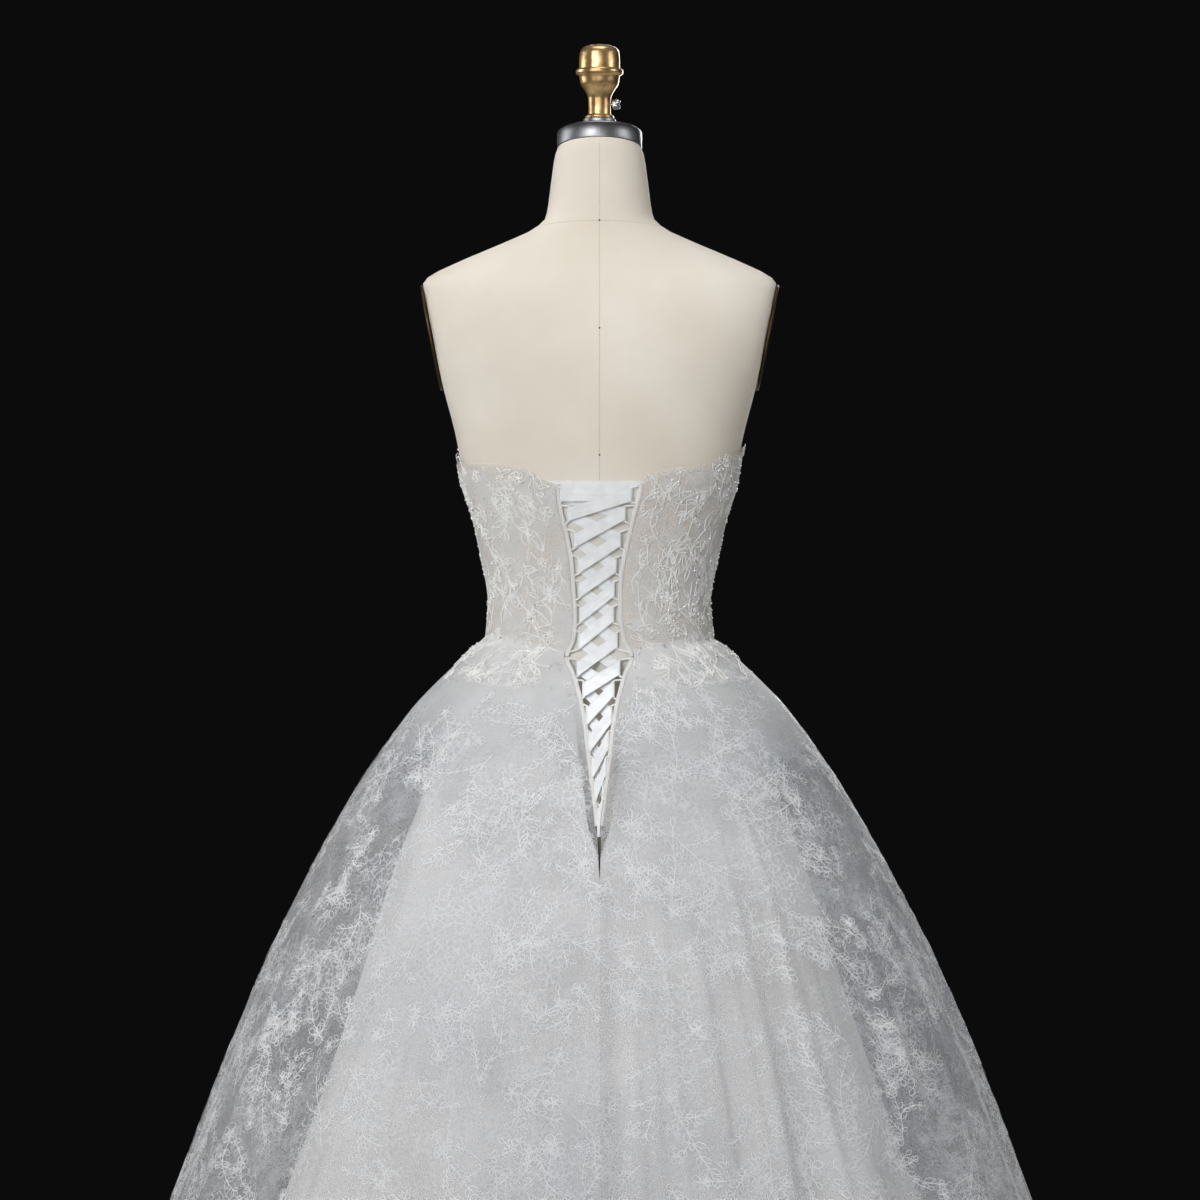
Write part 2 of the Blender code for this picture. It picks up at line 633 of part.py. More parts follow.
# Bodice: fitted lace over net, cut as a front, two side fronts and two backs
def bodice_panel(name, first, last, columns, rows):
    shares = np.linspace(0, 1, rows)
    heights = BACK_SEAM_GUESS + shares * BODICE_TALL_GUESS
    angle = panel_angles(first, last, columns, heights, clearance(0.0))
    for _ in range(3):
        low = seam_height(angle) + GAP / 2
        height = low + shares[:, None] * (neckline_height(angle) - low)
        angle = panel_angles(first, last, columns, edge_heights(height, first, last), clearance(0.0))
    inner = clearance(angle)
    outside = at_polar(angle, height, cloth_radius(angle, height, inner + BODICE_THICK))
    inside = at_polar(angle, height, cloth_radius(angle, height, inner))
    show(name, cloth_wall(name, outside, inside), IVORY_LACE)


def edge_heights(height, first, last):
    """The heights of a panel's rows at the end that lies on the opening, if one does."""
    return height[:, -1] if isinstance(last, str) else height[:, 0]


# Skirt: an embroidered net overskirt over a plainer lining, each in a front and two backs
def skirt_panel(name, first, last, columns):
    shares = np.array(SKIRT_SHARES)
    angle = panel_angles(first, last, columns, BACK_SEAM_GUESS - shares, BACK_CLEARANCE)
    for _ in range(3):
        top = seam_height(angle) - GAP / 2
        height = top + shares[:, None] * (SKIRT_HEM - top)
        angle = panel_angles(first, last, columns, edge_heights(height, first, last), BACK_CLEARANCE)
    outer = clearance(angle) + BODICE_THICK
    outside = at_polar(angle, height, cloth_radius(angle, height, outer))
    inside = at_polar(angle, height, cloth_radius(angle, height, outer - SKIRT_THICK))
    show(name, cloth_wall(name, outside, inside), IVORY_NET)


def lining_panel(name, first, last, columns):
    """The lining's back edges stand clear of the lacing, and meet below the opening."""
    drops = np.array(SKIRT_SHARES)[list(LINING_ROWS)] * (SEAM_SIDE - SKIRT_HEM)
    drops[-1] = SEAM_SIDE - LINING_HEM
    share = np.linspace(0, 1, columns)[None, :]
    seams = []
    for seam, inward in ((first, 1), (last, -1)):
        height = SEAM_SIDE - SEAM_BACK_DIP * (not isinstance(seam, float)) - drops
        if isinstance(seam, str):
            side = -1 if seam == "left_edge" else 1
            back = LINING_EDGE_BACK * eased((height - LINING_CLOSED) / (LINING_FULL - LINING_CLOSED))
            across = side * (opening_edge(side, height) + back)
            angle = across / lining_radius(np.zeros_like(across), height, True)
            for _ in range(6):
                angle = np.arcsin(across / lining_radius(angle, height, True))
            seams.append(angle)
        else:
            angle = np.full_like(height, math.radians(seam))
            seams.append(angle + inward * GAP / 2 / lining_radius(angle, height, True))
    angle = seams[0][:, None] * (1 - share) + seams[1][:, None] * share
    top = seam_height(angle) - drops[0]
    height = top + ((drops - drops[0]) / (drops[-1] - drops[0]))[:, None] * (LINING_HEM - top)
    outside = at_polar(angle, height, lining_radius(angle, height, False))
    inside = at_polar(angle, height, lining_radius(angle, height, True))
    show(name, cloth_wall(name, outside, inside), LINING_SATIN)


# Modesty panel: a plain strip of net on the form, behind the lacing
def modesty_panel():
    height = np.linspace(PANEL_BOTTOM, PANEL_TOP, 15)[:, None]
    share = np.linspace(-1, 1, 9)[None, :]
    room = np.where(share < 0, opening_edge(-1, height), opening_edge(1, height)) + PANEL_REACH
    angle = share * room / figure_radius(np.zeros_like(room), height)
    height = height + 0 * angle
    walls = [at_polar(angle, height, figure_radius(angle, height) + level) for level in PANEL_LEVELS]
    show("modesty_panel", cloth_wall("modesty_panel", walls[1], walls[0]), IVORY_NET)


# Lacing: corded loops on a piped edge, and one ribbon through them all
def ribbon_rise(row):
    """How tall the slanting ribbon is where it folds round the loop of this row."""
    rises = []
    for other in (row - 1, row + 1):
        if 0 <= other < len(LACING):
            fall = abs(LACING[row][0] - LACING[other][0])
            span = (LACING[row][1] + LACING[row][2] + LACING[other][1] + LACING[other][2]) / 2
            rises.append(RIBBON_WIDE * math.hypot(fall, span) / span)
    return min(sum(rises) / len(rises), RIBBON_TALLEST)


def loop_across(side, row):
    """How far across the upright stretch of this row's loop is."""
    return LACING[row][1 if side < 0 else 2] - LOOP_RADIUS - FOLD_CLEARANCE - RIBBON_THICK


def loop_route(side, row, low, high):
    """The route of one cord loop, as across and height: out of the piping, along the fold and back."""
    middle = LACING[row][0]
    above = (middle + LACING[row - 1][0]) / 2 if row else high
    below = (middle + LACING[row + 1][0]) / 2 if row + 1 < len(LACING) else middle - LAST_LOOP_DROP
    above = min(above - LOOPS_APART, high - LOOP_RADIUS)
    below = max(below + LOOPS_APART, low + LOOP_RADIUS)
    tip = loop_across(side, row)
    upright = ribbon_rise(row) / 2 + LOOP_BEYOND_FOLD
    corner = upright + LOOP_RADIUS + LOOP_BEYOND_FOLD
    rooted = PIPING_WIDE / 2
    return [
        (sewn_edge(side, above) + rooted, above),
        (tip + LOOP_SLOPE, min(middle + corner, above)),
        (tip, middle + upright),
        (tip, middle - upright),
        (tip + LOOP_SLOPE, max(middle - corner, below)),
        (sewn_edge(side, below) + rooted, below),
    ]


def cord_mesh(name, side, routes, sides=4):
    """Round cords along routes on the back, each closed at its two ends, in one mesh."""
    points = []
    faces = []
    for route in routes:
        path = np.array(route)
        start = len(points)
        for step, (across, height) in enumerate(path):
            before = path[max(step - 1, 0)]
            after = path[min(step + 1, len(path) - 1)]
            along = (after - before) / np.linalg.norm(after - before)
            turn = np.arange(sides) * 2 * math.pi / sides
            out = LOOP_RADIUS * np.cos(turn)
            level = LOOP_LEVEL + LOOP_RADIUS * np.sin(turn)
            points.extend(on_back(side * (across - along[1] * out), height + along[0] * out, level))
        faces.append([start + step for step in range(sides)])
        faces.append([start + (len(path) - 1) * sides + step for step in range(sides)])
        for row in range(len(path) - 1):
            for step in range(sides):
                a = start + row * sides + step
                b = start + row * sides + (step + 1) % sides
                faces.append((a, b, b + sides, a + sides))
    return mesh_of(name, points, faces)


def piped_edge(name, side, low, high, rows):
    """A piped edge of the opening with its loops, as one solid."""
    between = [row for row in sewn_rows(side) if low + PIPING_ROW_APART < row < high - PIPING_ROW_APART]
    height = np.array([low, *between, high])[:, None]
    inward = sewn_edge(side, height)
    across = np.concatenate([inward, inward + PIPING_WIDE], axis=1)
    height = np.concatenate([height, height], axis=1)
    walls = [on_back(side * across, height, LOOP_LEVEL + lift * LOOP_RADIUS) for lift in (1, -1)]
    piping = show(name, cloth_wall(name, *walls), RIBBON_SATIN)
    loops = cord_mesh(name + "_loops", side, [loop_route(side, row, low, high) for row in rows])
    cutter(piping, name + "_loops", loops, "UNION")


def ribbon_fold(side, row):
    """The ribbon round one loop: places as across, height, level, half across and half tall."""
    radius = LOOP_RADIUS + FOLD_CLEARANCE + RIBBON_THICK / 2
    places = []
    for turn in (-90, -30, 30, 90):
        turn = side * math.radians(turn)
        across = loop_across(side, row) + radius * math.cos(turn)
        level = LOOP_LEVEL + (RIBBON_OVER - RIBBON_UNDER) / 2 * math.sin(turn)
        places.append((side * across, LACING[row][0], level, 0, ribbon_rise(row) / 2))
    return places


def ribbon_tail(side, level):
    """A narrow gathered end, from the last fold down into the slit."""
    last = LACING[-1][0]
    places = []
    for across, below, half_across, half_tall in RIBBON_TAIL:
        places.append((side * across, last - below, level, side * half_across, half_tall))
    return places


def ribbon_zigzag(side):
    """Half of the lacing, from the fold of its first row down to its tail."""
    places = []
    for row in range(len(LACING)):
        places += ribbon_fold(side, row)
        side = -side
    side = -side
    return places + ribbon_tail(side, RIBBON_UNDER if side < 0 else RIBBON_OVER)


def lacing_ribbon():
    """One ribbon, up one zigzag from its end, across the top, and down the other zigzag."""
    places = spans(list(reversed(ribbon_zigzag(-1))) + ribbon_zigzag(1))
    outside, inside = ribbon_sides(*np.array(places).T)
    show("lacing_ribbon", cloth_wall("lacing_ribbon", outside, inside), RIBBON_SATIN)


def spans(places):
    """The route's places, with three more along each long span."""
    dense = [places[0]]
    for here, there in zip(places, places[1:]):
        if abs(here[0] - there[0]) > LONG_SPAN and abs(here[3]) + abs(there[3]) == 0:
            for share in (0.25, 0.5, 0.75):
                dense.append(tuple(a + (b - a) * share for a, b in zip(here, there)))
        dense.append(there)
    return dense


def ribbon_sides(across, height, level, half_across, half_height):
    """The ribbon's two faces, each a grid of points two wide, set off the centre line."""
    path = np.stack([across, level], axis=1)
    along = np.gradient(path, axis=0)
    along[0] = path[1] - path[0]
    along[-1] = path[-1] - path[-2]
    along /= np.maximum(np.linalg.norm(along, axis=1), 1e-9)[:, None]
    faces = []
    for lift in (RIBBON_THICK / 2, -RIBBON_THICK / 2):
        column = []
        for edge in (-1, 1):
            x = across - along[:, 1] * lift + edge * half_across
            z = height + edge * half_height
            column.append(on_back(x, z, level + along[:, 0] * lift))
        faces.append(np.stack(column, axis=1))
    return faces


for old in list(bpy.data.objects):
    bpy.data.objects.remove(old)

form_body()
arm_plates()
neck_cap()
finial()
thumb_screw()
stand()

bodice_panel("bodice_back_left", -SIDE_SEAM, "left_edge", BACK_COLUMNS, BODICE_ROWS)
bodice_panel("bodice_back_right", "right_edge", SIDE_SEAM, BACK_COLUMNS, BODICE_ROWS)
bodice_panel("bodice_side_left", -FRONT_SEAM, -SIDE_SEAM, SIDE_COLUMNS, FRONT_ROWS)
bodice_panel("bodice_side_right", SIDE_SEAM, FRONT_SEAM, SIDE_COLUMNS, FRONT_ROWS)
bodice_panel("bodice_front", FRONT_SEAM, 360 - FRONT_SEAM, FRONT_COLUMNS, FRONT_ROWS)

skirt_panel("skirt_back_left", -SIDE_SEAM, "left_edge", BACK_COLUMNS)
skirt_panel("skirt_back_right", "right_edge", SIDE_SEAM, BACK_COLUMNS)
skirt_panel("skirt_front", SIDE_SEAM, 360 - SIDE_SEAM, SKIRT_FRONT_COLUMNS)
lining_panel("lining_back_left", -SIDE_SEAM, "left_edge", LINING_BACK_COLUMNS)
lining_panel("lining_back_right", "right_edge", SIDE_SEAM, LINING_BACK_COLUMNS)
lining_panel("lining_front", SIDE_SEAM, 360 - SIDE_SEAM, LINING_FRONT_COLUMNS)
modesty_panel()

edge_seam = seam_height(math.radians(SEAM_EDGE_ANGLE))
for side, label in ((-1, "left"), (1, "right")):
    piped_edge("bodice_loops_" + label, side, edge_seam + SEAM_EDGE_GAP, PIPING_TOP, range(BODICE_LOOPS))
    skirt_rows = range(BODICE_LOOPS, len(LACING))
    piped_edge("skirt_loops_" + label, side, PIPING_END, edge_seam - SEAM_EDGE_GAP, skirt_rows)
lacing_ribbon()
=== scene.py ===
"""A strapless lace wedding dress, laced up the back, on its limbless dress form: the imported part's looks.

Metres, +Z up, the laced back facing -Y. The cloth lies on the same measured surface as the part's solids: a
point of it is an angle round the figure, from the centre back and positive towards +X, a height, and a level.
"""

import math

import bpy
import numpy as np
from mathutils import Matrix, Vector


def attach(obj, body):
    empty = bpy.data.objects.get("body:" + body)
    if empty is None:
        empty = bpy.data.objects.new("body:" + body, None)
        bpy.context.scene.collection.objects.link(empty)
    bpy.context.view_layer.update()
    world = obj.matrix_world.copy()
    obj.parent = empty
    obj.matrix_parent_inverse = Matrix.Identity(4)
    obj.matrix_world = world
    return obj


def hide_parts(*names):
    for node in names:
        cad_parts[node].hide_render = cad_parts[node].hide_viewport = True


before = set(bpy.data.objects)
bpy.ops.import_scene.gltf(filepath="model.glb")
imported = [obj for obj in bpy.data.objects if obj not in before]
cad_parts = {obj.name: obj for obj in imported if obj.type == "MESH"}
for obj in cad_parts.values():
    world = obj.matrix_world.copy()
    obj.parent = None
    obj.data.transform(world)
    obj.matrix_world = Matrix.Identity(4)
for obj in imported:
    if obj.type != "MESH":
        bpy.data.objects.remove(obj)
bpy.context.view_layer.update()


# Camera: level with the waist and five metres behind the dress, as the photograph was taken.
# Its frame spans 1.292 m at the form's axis.
EYE_ACROSS, EYE_DISTANCE, EYE_HEIGHT, FRAME_WIDE = 0.0005, 5.0, 1.080, 1.292
SENSOR_MM = 36.0

eye = bpy.data.objects.new("camera", bpy.data.cameras.new("camera"))
eye.data.sensor_width = SENSOR_MM
eye.data.lens = SENSOR_MM * EYE_DISTANCE / FRAME_WIDE
eye.location = (EYE_ACROSS, -EYE_DISTANCE, EYE_HEIGHT)
eye.rotation_euler = (math.radians(90), 0, 0)
bpy.context.scene.collection.objects.link(eye)
bpy.context.scene.camera = eye


# Studio: a pale matt floor, a dark neutral room and large soft panels of light.
# The panels beside and behind the dress light its sheer sides from within.
FLOOR_WIDE = 6.0
PANELS_OF_LIGHT = (
    # place, height it is turned to, side in metres, watts, spread in degrees
    ((0.0, -4.4, 1.6), 1.2, 1.4, 25, 180),
    ((-1.5, -3.3, 2.5), 1.1, 1.6, 18, 180),
    ((-1.5, -3.3, 2.5), 1.45, 1.6, 8.5, 60),
    ((0.0, -0.4, 4.2), 1.1, 1.6, 40, 180),
    ((-2.9, 0.7, 1.9), 1.1, 1.4, 25, 180),
    ((3.2, -1.2, 2.2), 1.1, 1.4, 25, 180),
    ((-2.6, -2.8, 1.4), 1.1, 1.2, 6, 180),
    ((0.8, 3.8, 2.0), 1.1, 1.8, 85, 180),
)


def linear(code):
    """An sRGB hex colour as the linear values that shaders take."""
    parts = [int(code[place : place + 2], 16) / 255 for place in (1, 3, 5)]
    return (*[c / 12.92 if c <= 0.04045 else ((c + 0.055) / 1.055) ** 2.4 for c in parts], 1.0)


def node(tree, kind, sockets=None, to=None, **settings):
    """Adds a shader node: its settings, what its sockets hold or are fed by, and the socket that it feeds."""
    made = tree.nodes.new(kind)
    for name, value in settings.items():
        setattr(made, name, value)
    for name, value in (sockets or {}).items():
        if isinstance(value, bpy.types.NodeSocket):
            tree.links.new(value, made.inputs[name])
        else:
            made.inputs[name].default_value = value
    if to is not None:
        tree.links.new(made.outputs[0], to)
    return made


def finish(name, **values):
    """A new material with its shader's plain values set, then its tree, its shader and where a point lies."""
    made = bpy.data.materials.new(name)
    made.use_nodes = True
    tree = made.node_tree
    shader = tree.nodes["Principled BSDF"]
    for socket, value in values.items():
        shader.inputs[socket.replace("_", " ").title().replace("Ior", "IOR")].default_value = value
    return made, tree, shader, node(tree, "ShaderNodeTexCoord").outputs["Object"]


def mottled(tree, shader, place, scale, low, high, detail=4.0, spread=(0.35, 0.65)):
    """Lets a soft noise of the given scale wander the base colour between two colours."""
    noise = node(tree, "ShaderNodeTexNoise", {"Vector": place, "Scale": scale, "Detail": detail})
    ramp = node(tree, "ShaderNodeValToRGB", {"Fac": noise.outputs["Fac"]}, to=shader.inputs["Base Color"])
    for number, colour in enumerate((low, high)):
        ramp.color_ramp.elements[number].position = spread[number]
        ramp.color_ramp.elements[number].color = linear(colour)
    return noise, ramp


def mesh_from(name, points, faces, smooth=True):
    """A mesh object from arrays of points and of faces with equally many corners."""
    mesh = bpy.data.meshes.new(name)
    points = np.asarray(points, np.float32)
    faces = np.asarray(faces, np.int32)
    mesh.vertices.add(len(points))
    mesh.vertices.foreach_set("co", points.ravel())
    mesh.loops.add(faces.size)
    mesh.loops.foreach_set("vertex_index", faces.ravel())
    mesh.polygons.add(len(faces))
    mesh.polygons.foreach_set("loop_start", np.arange(0, faces.size, faces.shape[1], dtype=np.int32))
    mesh.update(calc_edges=True)
    if smooth:
        mesh.shade_smooth()
    made = bpy.data.objects.new(name, mesh)
    bpy.context.scene.collection.objects.link(made)
    return made


half = FLOOR_WIDE / 2
corners = [(-half, -half, 0), (half, -half, 0), (half, half, 0), (-half, half, 0)]
floor = mesh_from("floor", corners, [(0, 1, 2, 3)])
# Rolled paper: flat and matt, with a hardly seen cloudiness
paper, tree, shader, place = finish("pale_studio_floor", roughness=0.85)
mottled(tree, shader, place, 1.5, "#C9C7C3", "#D2D0CC")
floor.data.materials.append(paper)

for number, (place, aim, side, watts, spread) in enumerate(PANELS_OF_LIGHT):
    lamp = bpy.data.lights.new("light_panel_%d" % number, "AREA")
    lamp.size = side
    lamp.energy = watts
    lamp.spread = math.radians(spread)
    panel = bpy.data.objects.new(lamp.name, lamp)
    panel.location = place
    panel.rotation_mode = "QUATERNION"
    panel.rotation_quaternion = (Vector((0, 0, aim)) - Vector(place)).to_track_quat("-Z", "Y")
    bpy.context.scene.collection.objects.link(panel)

room = bpy.data.worlds.new("dark_room")
room.use_nodes = True
room.node_tree.nodes["Background"].inputs["Color"].default_value = linear("#0C0C0D")
bpy.context.scene.world = room
bpy.context.scene.view_settings.view_transform = "Standard"


# Dress form: a padded torso under matt cream linen, cut flat at the armholes. The cover is sewn from panels,
# whose seams show as faint lines, and three steel pins mark the centre back.
FIGURE = (
    # height, half width, depth behind, depth ahead, squareness, how far the section leans ahead
    (0.790, 0.1500, 0.1040, 0.0920, 2.2, 0.000),
    (0.812, 0.1660, 0.1180, 0.1030, 2.2, 0.000),
    (0.850, 0.1715, 0.1260, 0.1080, 2.2, 0.000),
    (0.885, 0.1710, 0.1270, 0.1090, 2.2, 0.000),
    (0.925, 0.1630, 0.1210, 0.1080, 2.2, 0.000),
    (0.965, 0.1480, 0.1090, 0.1050, 2.2, 0.000),
    (1.000, 0.1310, 0.0980, 0.1000, 2.2, 0.000),
    (1.037, 0.1195, 0.0900, 0.0950, 2.1, 0.000),
    (1.080, 0.1165, 0.0880, 0.0930, 2.1, 0.000),
    (1.123, 0.1235, 0.0910, 0.0960, 2.1, 0.000),
    (1.166, 0.1330, 0.0970, 0.1020, 2.1, 0.000),
    (1.209, 0.1465, 0.1020, 0.1090, 2.2, 0.000),
    (1.252, 0.1540, 0.1030, 0.1120, 2.2, 0.000),
    (1.295, 0.1655, 0.1010, 0.1080, 2.2, 0.000),
    (1.338, 0.1815, 0.0960, 0.0990, 2.3, 0.000),
    (1.382, 0.1925, 0.0860, 0.0850, 2.3, 0.000),
    (1.403, 0.1945, 0.0790, 0.0750, 2.2, 0.000),
    (1.419, 0.1935, 0.0730, 0.0670, 2.1, 0.000),
    (1.428, 0.1840, 0.0690, 0.0620, 2.0, 0.000),
    (1.446, 0.1470, 0.0600, 0.0540, 1.9, 0.000),
    (1.468, 0.0950, 0.0520, 0.0500, 1.9, 0.001),
    (1.480, 0.0700, 0.0500, 0.0490, 2.0, 0.002),
    (1.492, 0.0580, 0.0490, 0.0490, 2.0, 0.004),
    (1.532, 0.0520, 0.0480, 0.0480, 2.0, 0.009),
    (1.559, 0.0480, 0.0470, 0.0470, 2.0, 0.013),
    (1.567, 0.0450, 0.0450, 0.0450, 2.0, 0.014),
)
MM = 0.001
BUST_HEIGHT, BUST_ANGLE = 1.250, 147.0
# How far the form's bust stands out, how wide it is in degrees, and how tall
FORM_BUST = (0.019, 23.0, 0.044)
NECK_BASE, NECK_TOP, NECK_TILT = 1.489, 1.567, math.radians(11)
ARM_PLATE_HEIGHT, ARM_PLATE_OUT, ARM_PLATE_LEAN = 1.3625, 0.1790, math.radians(11)
ARMHOLE_ROUNDING, NARROWEST_SIDE = 2.0 * MM, 0.2
FORM_COLUMNS, FORM_ROWS = 112, 112
COVER_SEAMS = (
    # angle, lowest height, highest height
    (0, 1.204, 1.560),
    (146, 1.330, 1.430),
    (-146, 1.330, 1.430),
    (180, 1.300, 1.555),
)
SEAM_WIDE, SEAM_CROWN, SEAM_LIFT, SEAM_STEPS = 0.9 * MM, 0.06 * MM, 0.15 * MM, 60
NECK_SEAM_HEIGHT, NECK_SEAM_DIP, NECK_SEAM_LIFT, NECK_SEAM_STEPS = 1.4806, 0.0046, 0.2 * MM, 120
BODY = "dress_and_form"


def through(rows, column, at):
    """The column's value on a smooth curve through a table's rows, with no overshoot between them."""
    table = np.array(rows, float)
    places = table[:, 0]
    values = table[:, column]
    steps = np.diff(places)
    slopes = np.diff(values) / steps
    tangents = np.zeros_like(values)
    tangents[0] = slopes[0]
    tangents[-1] = slopes[-1]
    product = slopes[:-1] * slopes[1:]
    total = slopes[:-1] + slopes[1:]
    monotone = product > 0
    tangents[1:-1][monotone] = 2 * product[monotone] / total[monotone]
    at = np.clip(at, places[0], places[-1])
    row = np.clip(np.searchsorted(places, at) - 1, 0, len(steps) - 1)
    t = (at - places[row]) / steps[row]
    start = (1 + 2 * t) * (1 - t) ** 2 * values[row] + t * (1 - t) ** 2 * steps[row] * tangents[row]
    end = t**2 * (3 - 2 * t) * values[row + 1] + t**2 * (t - 1) * steps[row] * tangents[row + 1]
    return start + end


def eased(t):
    """From 0 to 1 with no corner at either end."""
    t = np.clip(t, 0, 1)
    return t * t * (3 - 2 * t)


def bell(degrees, middle, spread):
    """1 at the middle angle, falling off to both sides of it, the same all the way round."""
    away = (degrees - middle + 180) % 360 - 180
    return np.exp(-((away / spread) ** 2))


def figure_radius(angle, height, bust=FORM_BUST):
    """The figure's radius at an angle and a height."""
    side = np.abs(np.sin(angle))
    ahead = -np.cos(angle)
    width = through(FIGURE, 1, height)
    depth = np.where(ahead > 0, through(FIGURE, 3, height), through(FIGURE, 2, height))
    power = through(FIGURE, 4, height)
    radius = ((side / width) ** power + (np.abs(ahead) / depth) ** power) ** (-1 / power)
    degrees = np.degrees(angle)
    out, wide, tall = bust
    cups = bell(degrees, BUST_ANGLE, wide) + bell(degrees, -BUST_ANGLE, wide)
    return radius + out * cups * np.exp(-(((height - BUST_HEIGHT) / tall) ** 2))


def at_polar(angle, height, radius):
    """Points from angles, heights and radii."""
    return np.stack([radius * np.sin(angle), -radius * np.cos(angle), height + 0 * angle], axis=-1)


def on_form(angle, height, level):
    """Points of the form's cover: flat at the armholes, and leaning forward with its neck."""
    angle, height = np.broadcast_arrays(angle, height)
    radius = figure_radius(angle, height)
    limit = ARM_PLATE_OUT + (height - ARM_PLATE_HEIGHT) * math.tan(ARM_PLATE_LEAN)
    side = np.maximum(np.abs(np.sin(angle)), NARROWEST_SIDE)
    across = radius * side
    flat = (across + limit - np.sqrt((across - limit) ** 2 + ARMHOLE_ROUNDING**2)) / 2
    points = at_polar(angle, height, np.minimum(radius, flat / side) + level)
    tilt = math.tan(NECK_TILT) * eased((height - NECK_BASE) / (NECK_TOP - NECK_BASE))
    points[..., 2] -= tilt * points[..., 1]
    points[..., 1] += through(FIGURE, 5, height)
    return points


def grid_faces(rows, columns, closed=False):
    """Four-cornered faces between the rows and columns of a grid of points."""
    row, column = np.meshgrid(np.arange(rows - 1), np.arange(columns - (not closed)), indexing="ij")
    a = (row * columns + column).ravel()
    b = (row * columns + (column + 1) % columns).ravel()
    return np.stack([a, b, b + columns, a + columns], axis=1)


def strips(groups, wide, crown=0.0):
    """Points and faces of flat or crowned strips, along lines that lie on a surface.

    Each group holds lines of equally many points: the points, and the surface's normals there.
    A crown stands that high over the strip's edges.
    """
    points = []
    faces = []
    start = 0
    for line, normal in groups:
        across = np.cross(normal, np.gradient(line, axis=1))
        across *= wide / 2 / np.maximum(np.linalg.norm(across, axis=-1, keepdims=True), 1e-9)
        rails = [line - across, line + across]
        if crown:
            rails.insert(1, line + normal * crown)
        block = np.stack(rails, axis=2)
        count, long, rail_count = block.shape[:3]
        firsts = start + np.arange(count)[:, None, None] * long * rail_count
        points.append(block.reshape(-1, 3))
        faces.append((grid_faces(long, rail_count) + firsts).reshape(-1, 4))
        start += block[..., 0].size
    return np.concatenate(points), np.concatenate(faces)


def normals_of(surface, angle, height, level):
    """Points of a surface and the outward normals there."""
    step = 0.0005
    here = surface(angle, height, level)
    round_it = surface(angle + step * 4, height, level) - here
    up = surface(angle, height + step, level) - here
    normal = np.cross(round_it, up)
    return here, normal / np.maximum(np.linalg.norm(normal, axis=-1), 1e-12)[..., None]


def dress(made, material, slot, *nodes, body=BODY):
    """Gives a piece its material, lets it ride, and says which solids it stands for. Its slot is not used."""
    made.data.materials.append(material)
    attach(made, body)
    if nodes:
        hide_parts(*nodes)


# Linen drawn tight over padding: matt and warm, with a fine weave that only raking light shows
linen, tree, shader, place = finish(
    "cream_linen_cover", roughness=0.88, sheen_weight=0.15, sheen_roughness=0.6
)
mottled(tree, shader, place, 9.0, "#DFD6C8", "#E7DFD3")
# Threads 0.6 mm apart, drawn 1.1 mm apart so that they show, crossing up and round the body
wavy = {"Vector": place, "Scale": 290, "Distortion": 2.0}
upright = node(tree, "ShaderNodeTexWave", wavy)
level = node(tree, "ShaderNodeTexWave", wavy, bands_direction="Z")
crossing = {0: upright.outputs["Fac"], 1: level.outputs["Fac"]}
woven = node(tree, "ShaderNodeMath", crossing, operation="MAXIMUM")
relief = {"Height": woven.outputs[0], "Distance": 0.25 * MM, "Strength": 0.35}
node(tree, "ShaderNodeBump", relief, to=shader.inputs["Normal"])

angle = np.linspace(0, 2 * math.pi, FORM_COLUMNS, endpoint=False)[None, :]
height = np.linspace(FIGURE[0][0], NECK_TOP, FORM_ROWS)[:, None]
cover = on_form(angle, height, 0.0)
ends = np.stack([cover[0].mean(axis=0), cover[-1].mean(axis=0)])
points = np.concatenate([cover.reshape(-1, 3), ends])
faces = grid_faces(FORM_ROWS, FORM_COLUMNS, closed=True)
form = mesh_from("form_cover", points, faces)
dress(form, linen, "linen", "form_body")
foot_middle, top_middle = FORM_ROWS * FORM_COLUMNS, FORM_ROWS * FORM_COLUMNS + 1
top_row = foot_middle - FORM_COLUMNS
caps = []
for column in range(FORM_COLUMNS):
    beside = (column + 1) % FORM_COLUMNS
    caps.append((foot_middle, beside, column))
    caps.append((top_middle, top_row + column, top_row + beside))
ends_cover = mesh_from("form_ends", points, caps, smooth=False)
dress(ends_cover, linen, "linen")

# Cotton thread sunk in the seams of the cover: a faint line, hardly darker than the linen
thread, tree, shader, place = finish("seam_thread_in_linen", roughness=0.9)
mottled(tree, shader, place, 400.0, "#C6BDAE", "#D4CBBD")
lines = []
for degrees, low, high in COVER_SEAMS:
    height = np.linspace(low, high, SEAM_STEPS)[None, :]
    lines.append(normals_of(on_form, math.radians(degrees) + 0 * height, height, SEAM_LIFT))
angle = np.linspace(0, 2 * math.pi, NECK_SEAM_STEPS)[None, :]
height = NECK_SEAM_HEIGHT + NECK_SEAM_DIP * np.cos(angle)
lines.append(normals_of(on_form, angle, height, NECK_SEAM_LIFT))
seams = mesh_from("form_seams", *strips(lines, SEAM_WIDE, SEAM_CROWN))
dress(seams, thread, "linen")


# Pins: three dressmaker's pins of dark steel, pushed into the linen down the centre back to mark it. Only
# their small round heads show.
PIN_HEIGHTS, PIN_SIDES = (1.4852, 1.3677, 1.2330), 16
PIN_HEAD = (0.9 * MM, 0), (1.0 * MM, 0.3 * MM), (0.6 * MM, 0.8 * MM)


